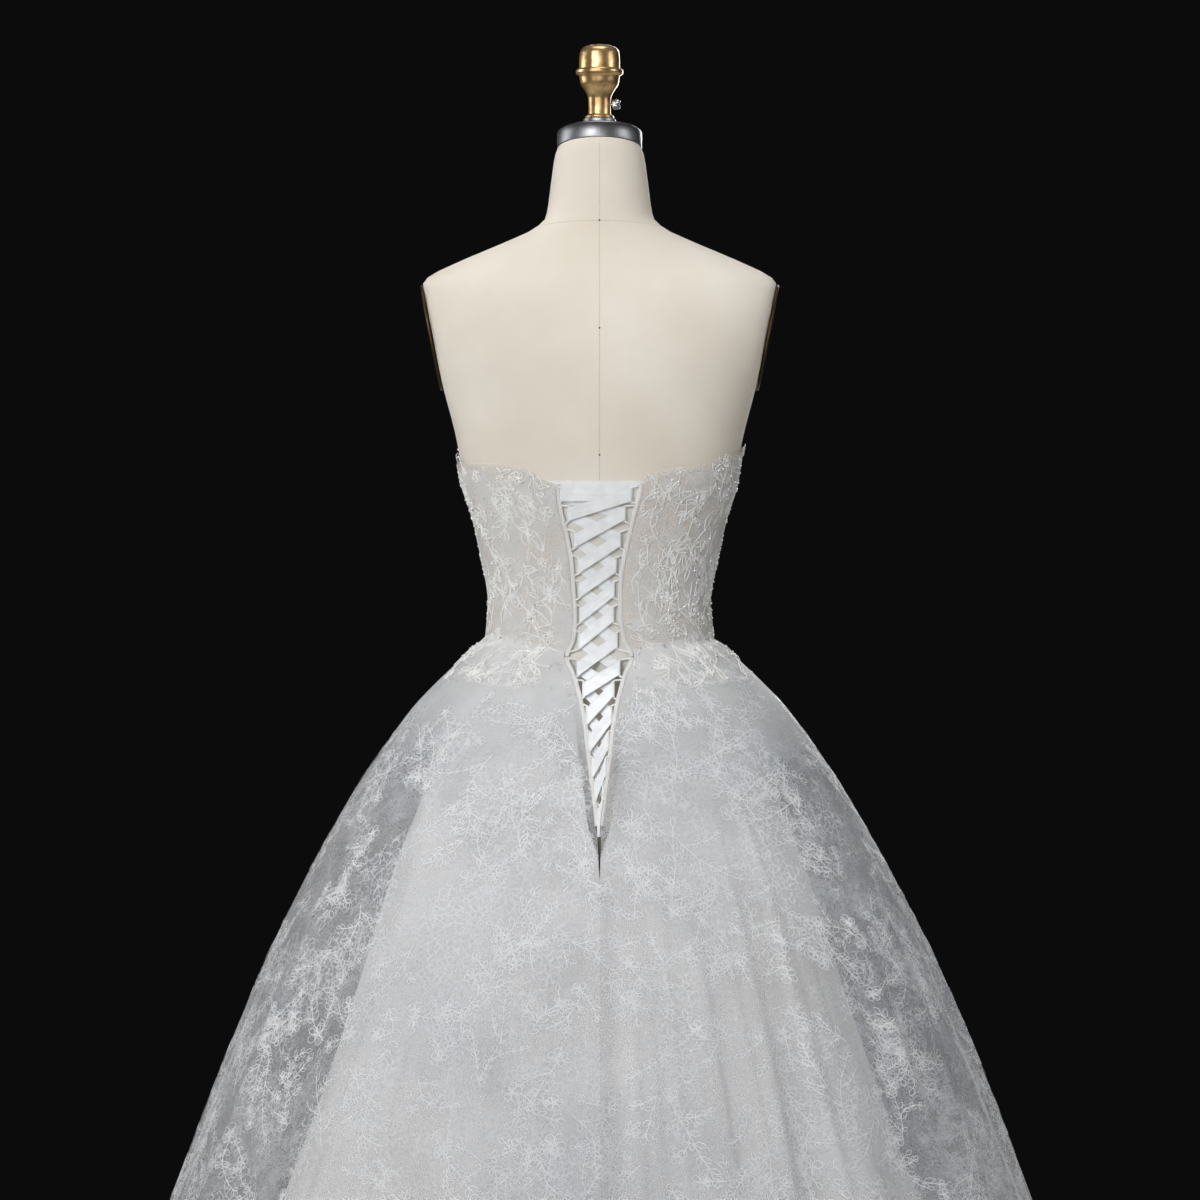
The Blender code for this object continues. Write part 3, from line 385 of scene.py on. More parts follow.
def turned(name, profile, sides):
    """A piece turned round Z from a profile of radius and height, closed at both ends."""
    # The ends close a hair off the axis, so that no face shrinks to a line
    hair = 0.01 * MM
    profile = np.array([(hair, profile[0][1]), *profile, (hair, profile[-1][1])])
    turn = np.linspace(0, 2 * math.pi, sides, endpoint=False)[None, :]
    radius = profile[:, :1]
    points = np.stack([radius * np.cos(turn), radius * np.sin(turn), profile[:, 1:] + 0 * turn], axis=-1)
    made = mesh_from(name, points.reshape(-1, 3), grid_faces(len(profile), sides, closed=True))
    made.data.set_sharp_from_angle(angle=math.radians(40))
    return made


# Blued steel: small, dark and slightly brown
pin_steel, tree, shader, place = finish("dark_pin_steel", metallic=1.0, roughness=0.4)
mottled(tree, shader, place, 900.0, "#2E2A26", "#5C564E")

for number, height in enumerate(PIN_HEIGHTS):
    head = turned("form_pin_%d" % number, PIN_HEAD, PIN_SIDES)
    spot, out = normals_of(on_form, np.zeros(1), np.full(1, height), 0.0)
    facing = Vector(out[0]).to_track_quat("Z", "Y").to_matrix().to_4x4()
    head.matrix_world = Matrix.Translation(spot[0]) @ facing
    dress(head, pin_steel, "dark_steel")


# Arm plates: oval lids of wood, sawn out, eased at the edge and painted dull bronze. Each is screwed on from
# within, over a flat armhole.
ARM_PLATE_HALF, ARM_PLATE_THICK, REST_GAP = (0.036, 0.058), 3.0 * MM, 0.3 * MM
RIM_TURNS = (-1.57, -1.2, -0.8, -0.4, 0, 0.4, 0.8, 1.2, 1.57)
RIM_EASED, RIM_UNDERCUT_BELOW, PLATE_SIDES = 0.02, -0.5, 72

# Bronze paint: dark and brown, with a dull metal gleam that breaks up in brush marks
bronze, tree, shader, place = finish("dull_bronze_paint", metallic=0.85, roughness=0.42)
noise, _ = mottled(tree, shader, place, 60.0, "#2B2114", "#4E3E24")
relief = {"Height": noise.outputs["Fac"], "Distance": 0.2 * MM, "Strength": 0.3}
node(tree, "ShaderNodeBump", relief, to=shader.inputs["Normal"])

rim = []
for turn in RIM_TURNS:
    drawn_in = 1 - (math.sin(turn) if turn < RIM_UNDERCUT_BELOW else math.cos(turn))
    rim.append((1 - RIM_EASED * drawn_in, ARM_PLATE_THICK * (0.5 + 0.5 * math.sin(turn))))
for side, label in ((-1, "left"), (1, "right")):
    plate = turned("arm_plate_" + label + "_lid", rim, PLATE_SIDES)
    out = Vector((side * math.cos(ARM_PLATE_LEAN), 0, -math.sin(ARM_PLATE_LEAN)))
    along = Vector((0, 1, 0))
    turn = Matrix((along, out.cross(along), out)).transposed().to_4x4()
    seat = Matrix.Translation((side * ARM_PLATE_OUT, 0, ARM_PLATE_HEIGHT)) @ turn
    oval = Matrix.Diagonal((*ARM_PLATE_HALF, 1, 1))
    plate.matrix_world = seat @ Matrix.Translation((0, 0, REST_GAP)) @ oval
    dress(plate, bronze, "bronze", "arm_plate_" + label)


# Neck cap: a lid turned from steel and brushed round, which closes the padded neck. It leans forward with the
# neck, and its low dome carries an upright boss on which the knob stands.
CAP_RADIUS, CAP_THICK, CAP_DOME, DOME_SINK = 0.0458, 0.0185, 0.008, 0.5 * MM
DOME_FROM, DOME_TO, DOME_RINGS, CAP_SIDES, BOSS_SIDES = 0.965, 0.02, 14, 96, 64
BOSS_RADIUS, BOSS_TALL, FINIAL_SEAT = 0.0175, 16 * MM, 1.5980

# Brushed steel: mid grey, with long soft streaks of light down its rim
steel, tree, shader, place = finish("turned_dark_steel", metallic=1.0, roughness=0.34, anisotropic=0.55)
mottled(tree, shader, place, 30.0, "#77787B", "#929396")
# Brushing marks 0.3 mm apart run round the cap, drawn 0.8 mm apart so that they show
stretched = node(tree, "ShaderNodeMapping", {"Vector": place, "Scale": (1, 1, 60)})
marks = node(tree, "ShaderNodeTexNoise", {"Vector": stretched.outputs["Vector"], "Scale": 20, "Detail": 6})
relief = {"Height": marks.outputs["Fac"], "Distance": 0.08 * MM, "Strength": 0.5}
node(tree, "ShaderNodeBump", relief, to=shader.inputs["Normal"])

rim = [(CAP_RADIUS - 1.0 * MM, 0), (CAP_RADIUS - 0.3 * MM, 0.3 * MM), (CAP_RADIUS, 1.0 * MM)]
rim += [(CAP_RADIUS, CAP_THICK - 2.2 * MM), (CAP_RADIUS - 0.4 * MM, CAP_THICK - 1.0 * MM)]
for share in np.linspace(DOME_FROM, DOME_TO, DOME_RINGS):
    rim.append((CAP_RADIUS * share, CAP_THICK + CAP_DOME * (1 - share**2) - DOME_SINK))
cap = turned("neck_cap_lid", rim, CAP_SIDES)
seat = Matrix.Translation((0, FIGURE[-1][5], NECK_TOP)) @ Matrix.Rotation(-NECK_TILT, 4, "X")
cap.matrix_world = seat @ Matrix.Translation((0, 0, REST_GAP))
dress(cap, steel, "dark_steel", "neck_cap")
boss_ends = (BOSS_RADIUS, FINIAL_SEAT - BOSS_TALL), (BOSS_RADIUS, FINIAL_SEAT - DOME_SINK)
boss = turned("finial_boss", boss_ends, BOSS_SIDES)
dress(boss, steel, "dark_steel")


# Knob: a finial cast in two halves and painted aged gold, rubbed darker in its grooves. It is pushed on the
# spindle over the boss, and its mould line runs up both sides.
FINIAL = (
    # height over its seat, radius
    (0.0000, 0.0153),
    (0.0004, 0.0156),
    (0.0022, 0.0156),
    (0.0030, 0.0150),
    (0.0044, 0.0123),
    (0.0120, 0.0120),
    (0.0212, 0.0123),
    (0.0255, 0.0135),
    (0.0309, 0.0167),
    (0.0373, 0.0205),
    (0.0459, 0.0221),
    (0.0474, 0.0246),
    (0.0486, 0.0255),
    (0.0514, 0.0255),
    (0.0526, 0.0246),
    (0.0537, 0.0220),
    (0.0640, 0.0218),
    (0.0700, 0.0213),
    (0.0738, 0.0200),
    (0.0770, 0.0165),
    (0.0788, 0.0110),
    (0.0796, 0.0050),
)
FINIAL_RINGS, FINIAL_SIDES = 90, 80
MOULD_LINE_ANGLE, MOULD_LINE_WIDE, MOULD_LINE_TALL, MOULD_LINE_WITHIN = -114.0, 2.6, 0.35 * MM, 0.004

# Aged gold: warm, half bright, glossy where it is rubbed and brown where the rub has not reached
gold, tree, shader, place = finish("aged_gold_paint", metallic=0.8, roughness=0.3)
noise, _ = mottled(tree, shader, place, 70.0, "#8A6A42", "#E0BE88", detail=8.0, spread=(0.3, 0.62))
relief = {"Height": noise.outputs["Fac"], "Distance": 0.5 * MM, "Strength": 0.35}
node(tree, "ShaderNodeBump", relief, to=shader.inputs["Normal"])
worn = {"Value": noise.outputs["Fac"], "To Min": 0.44, "To Max": 0.22}
node(tree, "ShaderNodeMapRange", worn, to=shader.inputs["Roughness"])


def points_of(made):
    """A piece's points, as rows to change and to set again."""
    flat = np.empty(len(made.data.vertices) * 3, np.float32)
    made.data.vertices.foreach_get("co", flat)
    return flat.reshape(-1, 3)


lift = np.linspace(0, FINIAL[-1][0], FINIAL_RINGS)
knob = turned("finial_knob", list(zip(through(FINIAL, 1, lift), lift)), FINIAL_SIDES)
flat = points_of(knob)
around = np.degrees(np.arctan2(flat[:, 1], flat[:, 0]))
line = sum(bell(around, MOULD_LINE_ANGLE + half_turn, MOULD_LINE_WIDE) for half_turn in (0, 180))
size = np.linalg.norm(flat[:, :2], axis=1)
flat[:, :2] *= (1 + line * MOULD_LINE_TALL / np.maximum(size, MOULD_LINE_WITHIN))[:, None]
knob.data.vertices.foreach_set("co", flat.ravel())
knob.location = (0, 0, FINIAL_SEAT + REST_GAP)
dress(knob, gold, "aged_gold", "finial")


# Thumb screw: turned from bright steel bar, with a knurled head. It goes through the knob's stem and clamps
# it on the spindle, and it rides on a body of its own, because it turns.
SCREW_HEIGHT, SCREW_RADIUS, SCREW_HEAD_RADIUS = 1.6135, 2.0 * MM, 5.4 * MM
SCREW_INNER, SCREW_NECK, SCREW_OUTER = 5.0 * MM, 13.7 * MM, 22.3 * MM
KNURL_SIDES, KNURL_EVERY, KNURL_DEPTH, KNURL_FROM = 72, 4, 0.35 * MM, 0.85

# Bright steel: nearly white, with small sharp highlights
bright, tree, shader, place = finish("bright_turned_steel", metallic=1.0, roughness=0.22)
mottled(tree, shader, place, 300.0, "#B4B5B8", "#D2D3D5")

profile = [(SCREW_RADIUS, SCREW_INNER), (SCREW_RADIUS, SCREW_NECK)]
profile += [(SCREW_HEAD_RADIUS * 0.6, SCREW_NECK), (SCREW_HEAD_RADIUS * 0.9, SCREW_NECK + 0.4 * MM)]
profile += [(SCREW_HEAD_RADIUS, SCREW_NECK + 1.2 * MM), (SCREW_HEAD_RADIUS, SCREW_OUTER - 1.2 * MM)]
profile += [(SCREW_HEAD_RADIUS * 0.9, SCREW_OUTER - 0.4 * MM), (SCREW_HEAD_RADIUS * 0.7, SCREW_OUTER)]
screw = turned("thumb_screw_knurled", profile, KNURL_SIDES)
flat = points_of(screw)
size = np.linalg.norm(flat[:, :2], axis=1)
tooth = (np.arange(len(flat)) % KNURL_EVERY < KNURL_EVERY / 2) & (size > SCREW_HEAD_RADIUS * KNURL_FROM)
flat[tooth, :2] *= 1 - KNURL_DEPTH / SCREW_HEAD_RADIUS
screw.data.vertices.foreach_set("co", flat.ravel())
screw.matrix_world = Matrix.Translation((0, 0, SCREW_HEIGHT)) @ Matrix.Rotation(math.pi / 2, 4, "Y")
dress(screw, bright, "bright_steel", "thumb_screw", body="screw")


# Stand: a bright steel pole, screwed under the form by its collar, in a heavy round foot of cast iron under
# black paint. The skirt hides nearly all of it.
POLE_RADIUS, COLLAR_RADIUS, COLLAR_THICK, COLLAR_CONE = 0.0125, 0.042, 0.008, 0.012
BASE_HUB, POLE_SIDES, FOOT_SIDES = 0.030, 48, 128
FOOT = (
    # radius, height
    (0.193, 0.0),
    (0.1945, 0.0006),
    (0.195, 0.002),
    (0.195, 0.0068),
    (0.1935, 0.0082),
    (0.160, 0.0105),
    (0.120, 0.013),
    (0.080, 0.0155),
    (0.050, 0.018),
    (POLE_RADIUS + 0.012, 0.021),
    (POLE_RADIUS + 0.008, 0.024),
    (POLE_RADIUS + 0.006, BASE_HUB),
)

top = FIGURE[0][0] - REST_GAP
under = top - COLLAR_THICK
profile = [(POLE_RADIUS, BASE_HUB + REST_GAP), (POLE_RADIUS, under - COLLAR_CONE)]
profile += [(COLLAR_RADIUS * 0.6, under), (COLLAR_RADIUS - 0.5 * MM, under)]
profile += [(COLLAR_RADIUS, under + 0.5 * MM), (COLLAR_RADIUS, top)]
pole = turned("stand_pole_tube", profile, POLE_SIDES)
dress(pole, bright, "bright_steel", "stand_pole")

# Black paint on cast iron: dark, half matt, and a little grainy under it
iron, tree, shader, place = finish("black_painted_iron", metallic=0.3, roughness=0.48)
noise, _ = mottled(tree, shader, place, 220.0, "#141414", "#242424")
relief = {"Height": noise.outputs["Fac"], "Distance": 0.4 * MM, "Strength": 0.5}
node(tree, "ShaderNodeBump", relief, to=shader.inputs["Normal"])

foot = turned("stand_foot", FOOT, FOOT_SIDES)
dress(foot, iron, "black_iron", "stand_base")


# Cloth surface: the dress is cut to the figure as far as the waist seam, and flares below it. Every layer of
# cloth follows this one surface at a level of its own. The deep folds are the part's, with finer creases
# between them.
SIDE_CLEARANCE, BACK_CLEARANCE = 1.4 * MM, 3.6 * MM
BODICE_THICK, SKIRT_THICK, LINING_THICK = 1.5 * MM, 1.2 * MM, 1.1 * MM
STEEP_SCALE, STEEP_WITHIN = 1.3, 0.012
# How far the cloth's bust stands out, how wide it is in degrees, and how tall
CLOTH_BUST = (0.027, 28.0, 0.052)
NECKLINE = (
    # angle from the centre back, height on the -X side, height on the +X side
    (0, 1.2000, 1.2040),
    (24, 1.2030, 1.2080),
    (31, 1.2070, 1.2150),
    (38, 1.2170, 1.2190),
    (52, 1.2240, 1.2235),
    (75, 1.2265, 1.2360),
    (90, 1.2310, 1.2420),
    (112, 1.2460, 1.2500),
    (130, 1.2860, 1.2870),
    (147, 1.3180, 1.3180),
    (165, 1.3020, 1.3020),
    (180, 1.2880, 1.2880),
)
SEAM_SIDE, SEAM_BACK_DIP, SEAM_FRONT_DIP = 1.0385, 0.0225, 0.033
SEAM_BACK_SPREAD, SEAM_FRONT_SPREAD = 45.0, 42.0
SIDE_SEAM, FRONT_SEAM = 90.0, 146.0
FLARE = (
    # drop below the seam, how far the skirt has flared, gap from skirt to lining
    (0.000, 0.0000, 0.0000),
    (0.006, 0.0100, 0.0000),
    (0.027, 0.0320, 0.0060),
    (0.048, 0.0540, 0.0210),
    (0.070, 0.0750, 0.0330),
    (0.097, 0.0960, 0.0450),
    (0.124, 0.1150, 0.0560),
    (0.150, 0.1330, 0.0660),
    (0.177, 0.1490, 0.0760),
    (0.231, 0.1800, 0.0850),
    (0.285, 0.2080, 0.0950),
    (0.339, 0.2340, 0.1050),
    (0.393, 0.2570, 0.1110),
    (0.447, 0.2790, 0.1150),
    (0.554, 0.3200, 0.1180),
    (0.607, 0.3400, 0.1180),
    (1.030, 0.4860, 0.1240),
)
BACK_FULLNESS, FRONT_FULLNESS = 0.92, 0.84
# The drop at which folds and creases reach their whole depth, and how they grow to it
FOLDED_FROM, CREASED_FROM, FOLD_GROWTH = FLARE[-1][0], 0.50, 0.7
# The back's greater clearance ends at one angle and eases off over another
CLEARANCE_ENDS, CLEARANCE_EASES = 78.0, 36.0
SKIRT_HEM, LINING_HEM = 0.012, 0.030
# Where an angle and a radius, or a panel's angles and heights, depend on each other, they are worked out
# this often in turn
ANGLE_ROUNDS, PANEL_ROUNDS, LINING_ROUNDS = 6, 5, 3
FOLDS = (
    # angle, half width in degrees, ridge out or valley in, drop at which it starts
    (0.0, 3.5, 0.010, 0.18),
    (-9.0, 4.0, 0.009, 0.34),
    (-14.5, 4.5, -0.018, 0.30),
    (-27.0, 6.0, 0.010, 0.36),
    (-44.0, 8.0, 0.024, 0.12),
    (-59.0, 6.0, -0.016, 0.30),
    (-74.0, 7.0, 0.012, 0.34),
    (13.5, 5.0, -0.018, 0.26),
    (23.0, 6.0, 0.012, 0.34),
    (34.0, 5.0, -0.022, 0.12),
    (41.0, 5.0, 0.012, 0.24),
    (49.0, 5.0, -0.016, 0.28),
    (62.0, 7.0, 0.018, 0.22),
    (77.0, 6.0, -0.010, 0.36),
    (104.0, 7.0, 0.014, 0.26),
    (120.0, 6.0, -0.018, 0.22),
    (134.0, 8.0, 0.020, 0.16),
    (151.0, 6.0, -0.016, 0.30),
    (165.0, 6.0, 0.012, 0.34),
    (181.0, 6.0, -0.014, 0.28),
    (196.0, 7.0, 0.014, 0.24),
    (211.0, 6.0, -0.018, 0.20),
    (226.0, 7.0, 0.020, 0.18),
    (242.0, 6.0, -0.014, 0.30),
    (256.0, 6.0, 0.010, 0.36),
)
CREASES = (
    # angle, half width in degrees, ridge or trough, drop at which it starts
    (0.0, 1.2, 0.0074, 0.10),
    (-3.6, 1.6, -0.0063, 0.13),
    (4.0, 1.5, -0.0059, 0.12),
    (-10.8, 1.4, 0.0084, 0.25),
    (-18.5, 1.6, 0.0063, 0.18),
    (9.0, 1.4, 0.0063, 0.26),
    (18.2, 1.8, 0.0071, 0.16),
    (29.0, 1.4, 0.0063, 0.08),
    (37.2, 1.4, 0.0076, 0.12),
    (-36.0, 2.0, 0.0063, 0.06),
    (-51.5, 2.2, -0.0071, 0.10),
    (-66.0, 2.0, 0.0063, 0.17),
    (55.0, 1.8, 0.0063, 0.11),
    (69.5, 2.0, -0.0063, 0.16),
    (84.0, 2.2, 0.0063, 0.18),
    (-82.0, 2.0, -0.0059, 0.14),
    (97.0, 1.8, -0.0063, 0.13),
    (112.0, 2.2, 0.0071, 0.11),
    (127.0, 1.8, 0.0063, 0.16),
    (142.0, 2.0, -0.0067, 0.12),
    (158.0, 1.8, 0.0067, 0.14),
    (173.0, 2.0, 0.0063, 0.18),
    (188.5, 1.8, -0.0063, 0.14),
    (203.0, 2.2, 0.0071, 0.11),
    (219.0, 1.8, -0.0063, 0.16),
    (234.0, 2.0, 0.0063, 0.13),
    (249.0, 1.8, 0.0063, 0.17),
    (263.0, 2.0, -0.0063, 0.14),
)


def clearance(angle):
    """How far off the figure the cloth's inside lies: more at the back, where the ribbon runs under it."""
    away = np.abs((np.degrees(angle) + 180) % 360 - 180)
    behind = eased((CLEARANCE_ENDS - away) / CLEARANCE_EASES)
    return SIDE_CLEARANCE + (BACK_CLEARANCE - SIDE_CLEARANCE) * behind


def seam_height(angle):
    """The waist seam's height."""
    degrees = np.degrees(angle)
    back = SEAM_BACK_DIP * bell(degrees, 0, SEAM_BACK_SPREAD)
    return SEAM_SIDE - back - SEAM_FRONT_DIP * bell(degrees, 180, SEAM_FRONT_SPREAD)


def neckline_height(angle):
    """The bodice's top edge."""
    degrees = (np.degrees(angle) + 180) % 360 - 180
    left = through(NECKLINE, 1, np.abs(degrees))
    right = through(NECKLINE, 2, np.abs(degrees))
    return np.where(degrees < 0, left, right)


def fullness(angle):
    """The skirt's flare at this angle, as a share of its flare at the side."""
    middle = np.where(np.cos(angle) > 0, BACK_FULLNESS, FRONT_FULLNESS)
    return middle + (1 - middle) * np.sin(angle) ** 2


def fold_depth(angle, drop):
    """How far the skirt's folds and creases stand out or in."""
    degrees = np.degrees(angle)
    depths = []
    for table, whole in ((FOLDS, FOLDED_FROM), (CREASES, CREASED_FROM)):
        depth = np.zeros_like(drop)
        for middle, spread, out, start in table:
            grown = eased((drop - start) / (whole - start)) ** FOLD_GROWTH
            depth = depth + out * bell(degrees, middle, spread) * grown
        depths.append(depth)
    return sum(depths)


def cloth_radius(angle, height, level):
    """The radius of a layer at a level over the figure, and over its flare below the waist seam."""
    seam = seam_height(angle)
    drop = np.maximum(seam - height, 0)
    flare = through(FLARE, 1, drop) * fullness(angle)
    scale = 1 + (STEEP_SCALE - 1) * eased(drop / STEEP_WITHIN)
    figure = figure_radius(angle, np.maximum(height, seam), CLOTH_BUST)
    return figure + flare + fold_depth(angle, drop) + level * scale


def on_cloth(angle, height, level):
    """Points of a cloth layer."""
    angle, height = np.broadcast_arrays(angle, height)
    return at_polar(angle, height, cloth_radius(angle, height, level))


def back_angle(across, height, level):
    """The angle at which a layer of the back is this far across, counted from the centre back."""
    angle = across / cloth_radius(np.zeros_like(across), height, level)
    for _ in range(ANGLE_ROUNDS):
        angle = np.arcsin(across / cloth_radius(angle, height, level))
    return angle


def on_back(across, height, level):
    """Points of the back, from how far across they are, their height and their level."""
    across, height, level = np.broadcast_arrays(*map(np.asarray, (across, height, level)))
    angle = back_angle(across.astype(float), height, level)
    return at_polar(angle, height, cloth_radius(angle, height, level))


# Modesty panel: a plain strip of pale net that lies behind the lacing, over the form. It is sewn in beside
# the opening, and bound along its top with white satin.
OPENING = (
    # height, edge on the -X side, edge on the +X side
    (0.400, 0.0, 0.0),
    (0.793, 0.0, 0.0),
    (0.800, 0.0009, 0.0007),
    (0.812, 0.0008, 0.0006),
    (0.824, 0.0015, 0.0012),
    (0.843, 0.0026, 0.0020),
    (0.873, 0.0056, 0.0052),
    (0.898, 0.0092, 0.0086),
    (0.924, 0.0125, 0.0120),
    (0.951, 0.0157, 0.0152),
    (0.975, 0.0205, 0.0199),
    (1.001, 0.0279, 0.0274),
    (1.020, 0.0354, 0.0343),
    (1.038, 0.0285, 0.0269),
    (1.063, 0.0264, 0.0227),
    (1.088, 0.0280, 0.0227),
    (1.117, 0.0301, 0.0253),
    (1.143, 0.0343, 0.0311),
    (1.175, 0.0416, 0.0385),
    (1.199, 0.0448, 0.0448),
    (1.230, 0.0460, 0.0460),
)
PANEL_TOP, PANEL_BOTTOM, PANEL_REACH, PANEL_BINDING = 1.2055, 0.992, 0.022, 24.0 * MM
# Levels of the inside and the outside, over the figure
NET_LEVELS, BINDING_LEVELS = (0.5 * MM, 1.5 * MM), (0.4 * MM, 1.7 * MM)
PANEL_COLUMNS, PANEL_ROWS, BINDING_ROWS, BINDING_OVER = 33, 60, 8, 0.4 * MM


def opening_edge(side, height):
    """How far from the centre back the opening's edge is, on side -1 or 1."""
    return through(OPENING, 1 if side < 0 else 2, height)


def wall(name, outside, inside):
    """A closed thin wall of cloth between two grids of points."""
    rows, columns = outside.shape[:2]
    points = np.concatenate([outside.reshape(-1, 3), inside.reshape(-1, 3)])
    back = rows * columns
    front_faces = grid_faces(rows, columns)
    rim = list(range(columns))
    rim += [row * columns + columns - 1 for row in range(1, rows)]
    rim += [(rows - 1) * columns + column for column in reversed(range(columns - 1))]
    rim += [row * columns for row in reversed(range(1, rows - 1))]
    edge = [(there, here, back + here, back + there) for here, there in zip(rim, rim[1:] + rim[:1])]
    made = mesh_from(name, points, np.concatenate([front_faces, front_faces[:, ::-1] + back, edge]))
    made.data.set_sharp_from_angle(angle=math.radians(60))
    return made


# Nylon net in a double layer: matt, nearly white and hardly sheer. Its mesh of 1 mm is drawn 1.4 mm across
pale_net, tree, shader, place = finish("pale_nylon_net", roughness=0.75, sheen_weight=0.2)
mottled(tree, shader, place, 30.0, "#DBD9D1", "#E3E1DA")
mesh_holes = node(tree, "ShaderNodeTexVoronoi", {"Vector": place, "Scale": 700})
relief = {"Height": mesh_holes.outputs["Distance"], "Distance": 0.3 * MM, "Strength": 0.4}
node(tree, "ShaderNodeBump", relief, to=shader.inputs["Normal"])


def panel_strip(name, low, high, levels, rows):
    """Part of the modesty panel between two heights."""
    height = np.linspace(low, high, rows)[:, None]
    share = np.linspace(-1, 1, PANEL_COLUMNS)[None, :]
    reach = np.where(share < 0, opening_edge(-1, height), opening_edge(1, height)) + PANEL_REACH
    angle = share * reach / figure_radius(np.zeros_like(reach), height)
    height = height + 0 * angle
    inside, outside = [at_polar(angle, height, figure_radius(angle, height) + level) for level in levels]
    return wall(name, outside, inside)


panel = panel_strip("modesty_net", PANEL_BOTTOM, PANEL_TOP, NET_LEVELS, PANEL_ROWS)
dress(panel, pale_net, "plain_net", "modesty_panel")

# Polyester satin on the bias: white, with a soft sheen
white_satin, tree, shader, place = finish(
    "white_satin_binding", roughness=0.42, sheen_weight=0.25, anisotropic=0.3
)
mottled(tree, shader, place, 120.0, "#E6E7E7", "#F0F1F1")
bound = PANEL_TOP - PANEL_BINDING, PANEL_TOP + BINDING_OVER
binding = panel_strip("modesty_binding", *bound, BINDING_LEVELS, BINDING_ROWS)
dress(binding, white_satin, "plain_net")


# Bodice: a boned shell of ivory net over nude lining, cut in five panels and sewn together at fine seams. The
# lining stops short of the top edge, where bare net stands on.
BODICE_INSIDE, NET_EDGE, NET_OVERLAP, SEAM_GAP = 0.6 * MM, 6.0 * MM, 1.5 * MM, 0.3 * MM
PIPING_WIDE, PIPING_END, PIPING_TOP = 1.5 * MM, 0.848, 1.2025
PIPING_ROOM_BELOW = 4.0 * MM
BODICE_ROWS, NET_EDGE_ROWS, SHELL_SUNK = 46, 5, 0.3 * MM
BODICE_PANELS = (
    # node, first seam, last seam, columns, cut width and length, cut area
    ("bodice_back_left", -SIDE_SEAM, "left_edge", 70, (0.160, 0.215), 0.028),
    ("bodice_back_right", "right_edge", SIDE_SEAM, 70, (0.160, 0.220), 0.029),
    ("bodice_side_left", -FRONT_SEAM, -SIDE_SEAM, 50, (0.150, 0.290), 0.031),
    ("bodice_side_right", SIDE_SEAM, FRONT_SEAM, 50, (0.150, 0.290), 0.031),
    ("bodice_front", FRONT_SEAM, 360 - FRONT_SEAM, 70, (0.185, 0.310), 0.042),
)

# Ivory net mounted on nude lining: matt, with the skin tone clouding through in patches
nude_net, tree, shader, place = finish(
    "ivory_net_over_nude_lining", roughness=0.72, sheen_weight=0.2, sheen_roughness=0.5
)
_, ramp = mottled(tree, shader, place, 15.0, "#D7CDC4", "#D4D3D1", detail=2.0, spread=(0.40, 0.56))
# The lace's ground is spidery thread, 0.4 mm thick, drawn as ridges 3 mm apart
spidery = node(tree, "ShaderNodeTexVoronoi", {"Vector": place, "Scale": 330}, feature="DISTANCE_TO_EDGE")
near = {"Value": spidery.outputs["Distance"], "From Max": 0.14, "To Min": 1, "To Max": 0}
threads = node(tree, "ShaderNodeMapRange", near)
colours = {0: threads.outputs["Result"], 6: ramp.outputs["Color"], 7: linear("#DEDDDB")}
blend = node(tree, "ShaderNodeMix", colours, data_type="RGBA")
tree.links.new(blend.outputs[2], shader.inputs["Base Color"])
relief = {"Height": threads.outputs["Result"], "Distance": 0.5 * MM, "Strength": 0.7}
node(tree, "ShaderNodeBump", relief, to=shader.inputs["Normal"])

# Bare ivory net: a sheer rim that lets the form's linen through. Its mesh of 1 mm is drawn 1.4 mm across
sheer_edge, tree, shader, place = finish("sheer_ivory_net", roughness=0.7, base_color=linear("#E6E1DA"))
holes = node(tree, "ShaderNodeTexVoronoi", {"Vector": place, "Scale": 700}, feature="DISTANCE_TO_EDGE")
open_share = {"Value": holes.outputs["Distance"], "From Max": 0.35, "To Min": 0.85, "To Max": 0.25}
node(tree, "ShaderNodeMapRange", open_share, to=shader.inputs["Alpha"])


def edge_angles(first, last, height):
    """The angles of a panel's two bounds at its rows' heights: each a seam, or an edge of the opening."""
    ends = []
    for seam, inward in ((first, 1), (last, -1)):
        if isinstance(seam, str):
            side = -1 if seam == "left_edge" else 1
            piped = height > PIPING_END - PIPING_ROOM_BELOW
            edge = opening_edge(side, height) + np.where(piped, PIPING_WIDE + SEAM_GAP, 0)
            ends.append(back_angle(side * edge, height, BACK_CLEARANCE))
        else:
            angle = np.full_like(height, math.radians(seam))
            ends.append(angle + inward * SEAM_GAP / 2 / cloth_radius(angle, height, SIDE_CLEARANCE))
    return ends


def panel_grid(first, last, columns, shares, bottom, top):
    """Angles and heights of a panel's points, its rows at the given shares of the way from bottom to top."""
    across = np.linspace(0, 1, columns)[None, :]
    height = SEAM_SIDE + 0 * shares[:, None] + 0 * across
    for _ in range(PANEL_ROUNDS):
        edge = height[:, -1] if isinstance(last, str) else height[:, 0]
        bounds = edge_angles(first, last, edge)
        angle = bounds[0][:, None] * (1 - across) + bounds[1][:, None] * across
        height = bottom(angle) + shares[:, None] * (top(angle) - bottom(angle))
    return angle, height


def bodice_foot(angle):
    """The bodice's lower edge, just over the waist seam."""
    return seam_height(angle) + SEAM_GAP / 2


def lining_edge(angle):
    """The top edge of the bodice's lining."""
    return neckline_height(angle) - NET_EDGE


def under_lining_edge(angle):
    """Where the bare net comes out from under the lining's edge."""
    return lining_edge(angle) - NET_OVERLAP


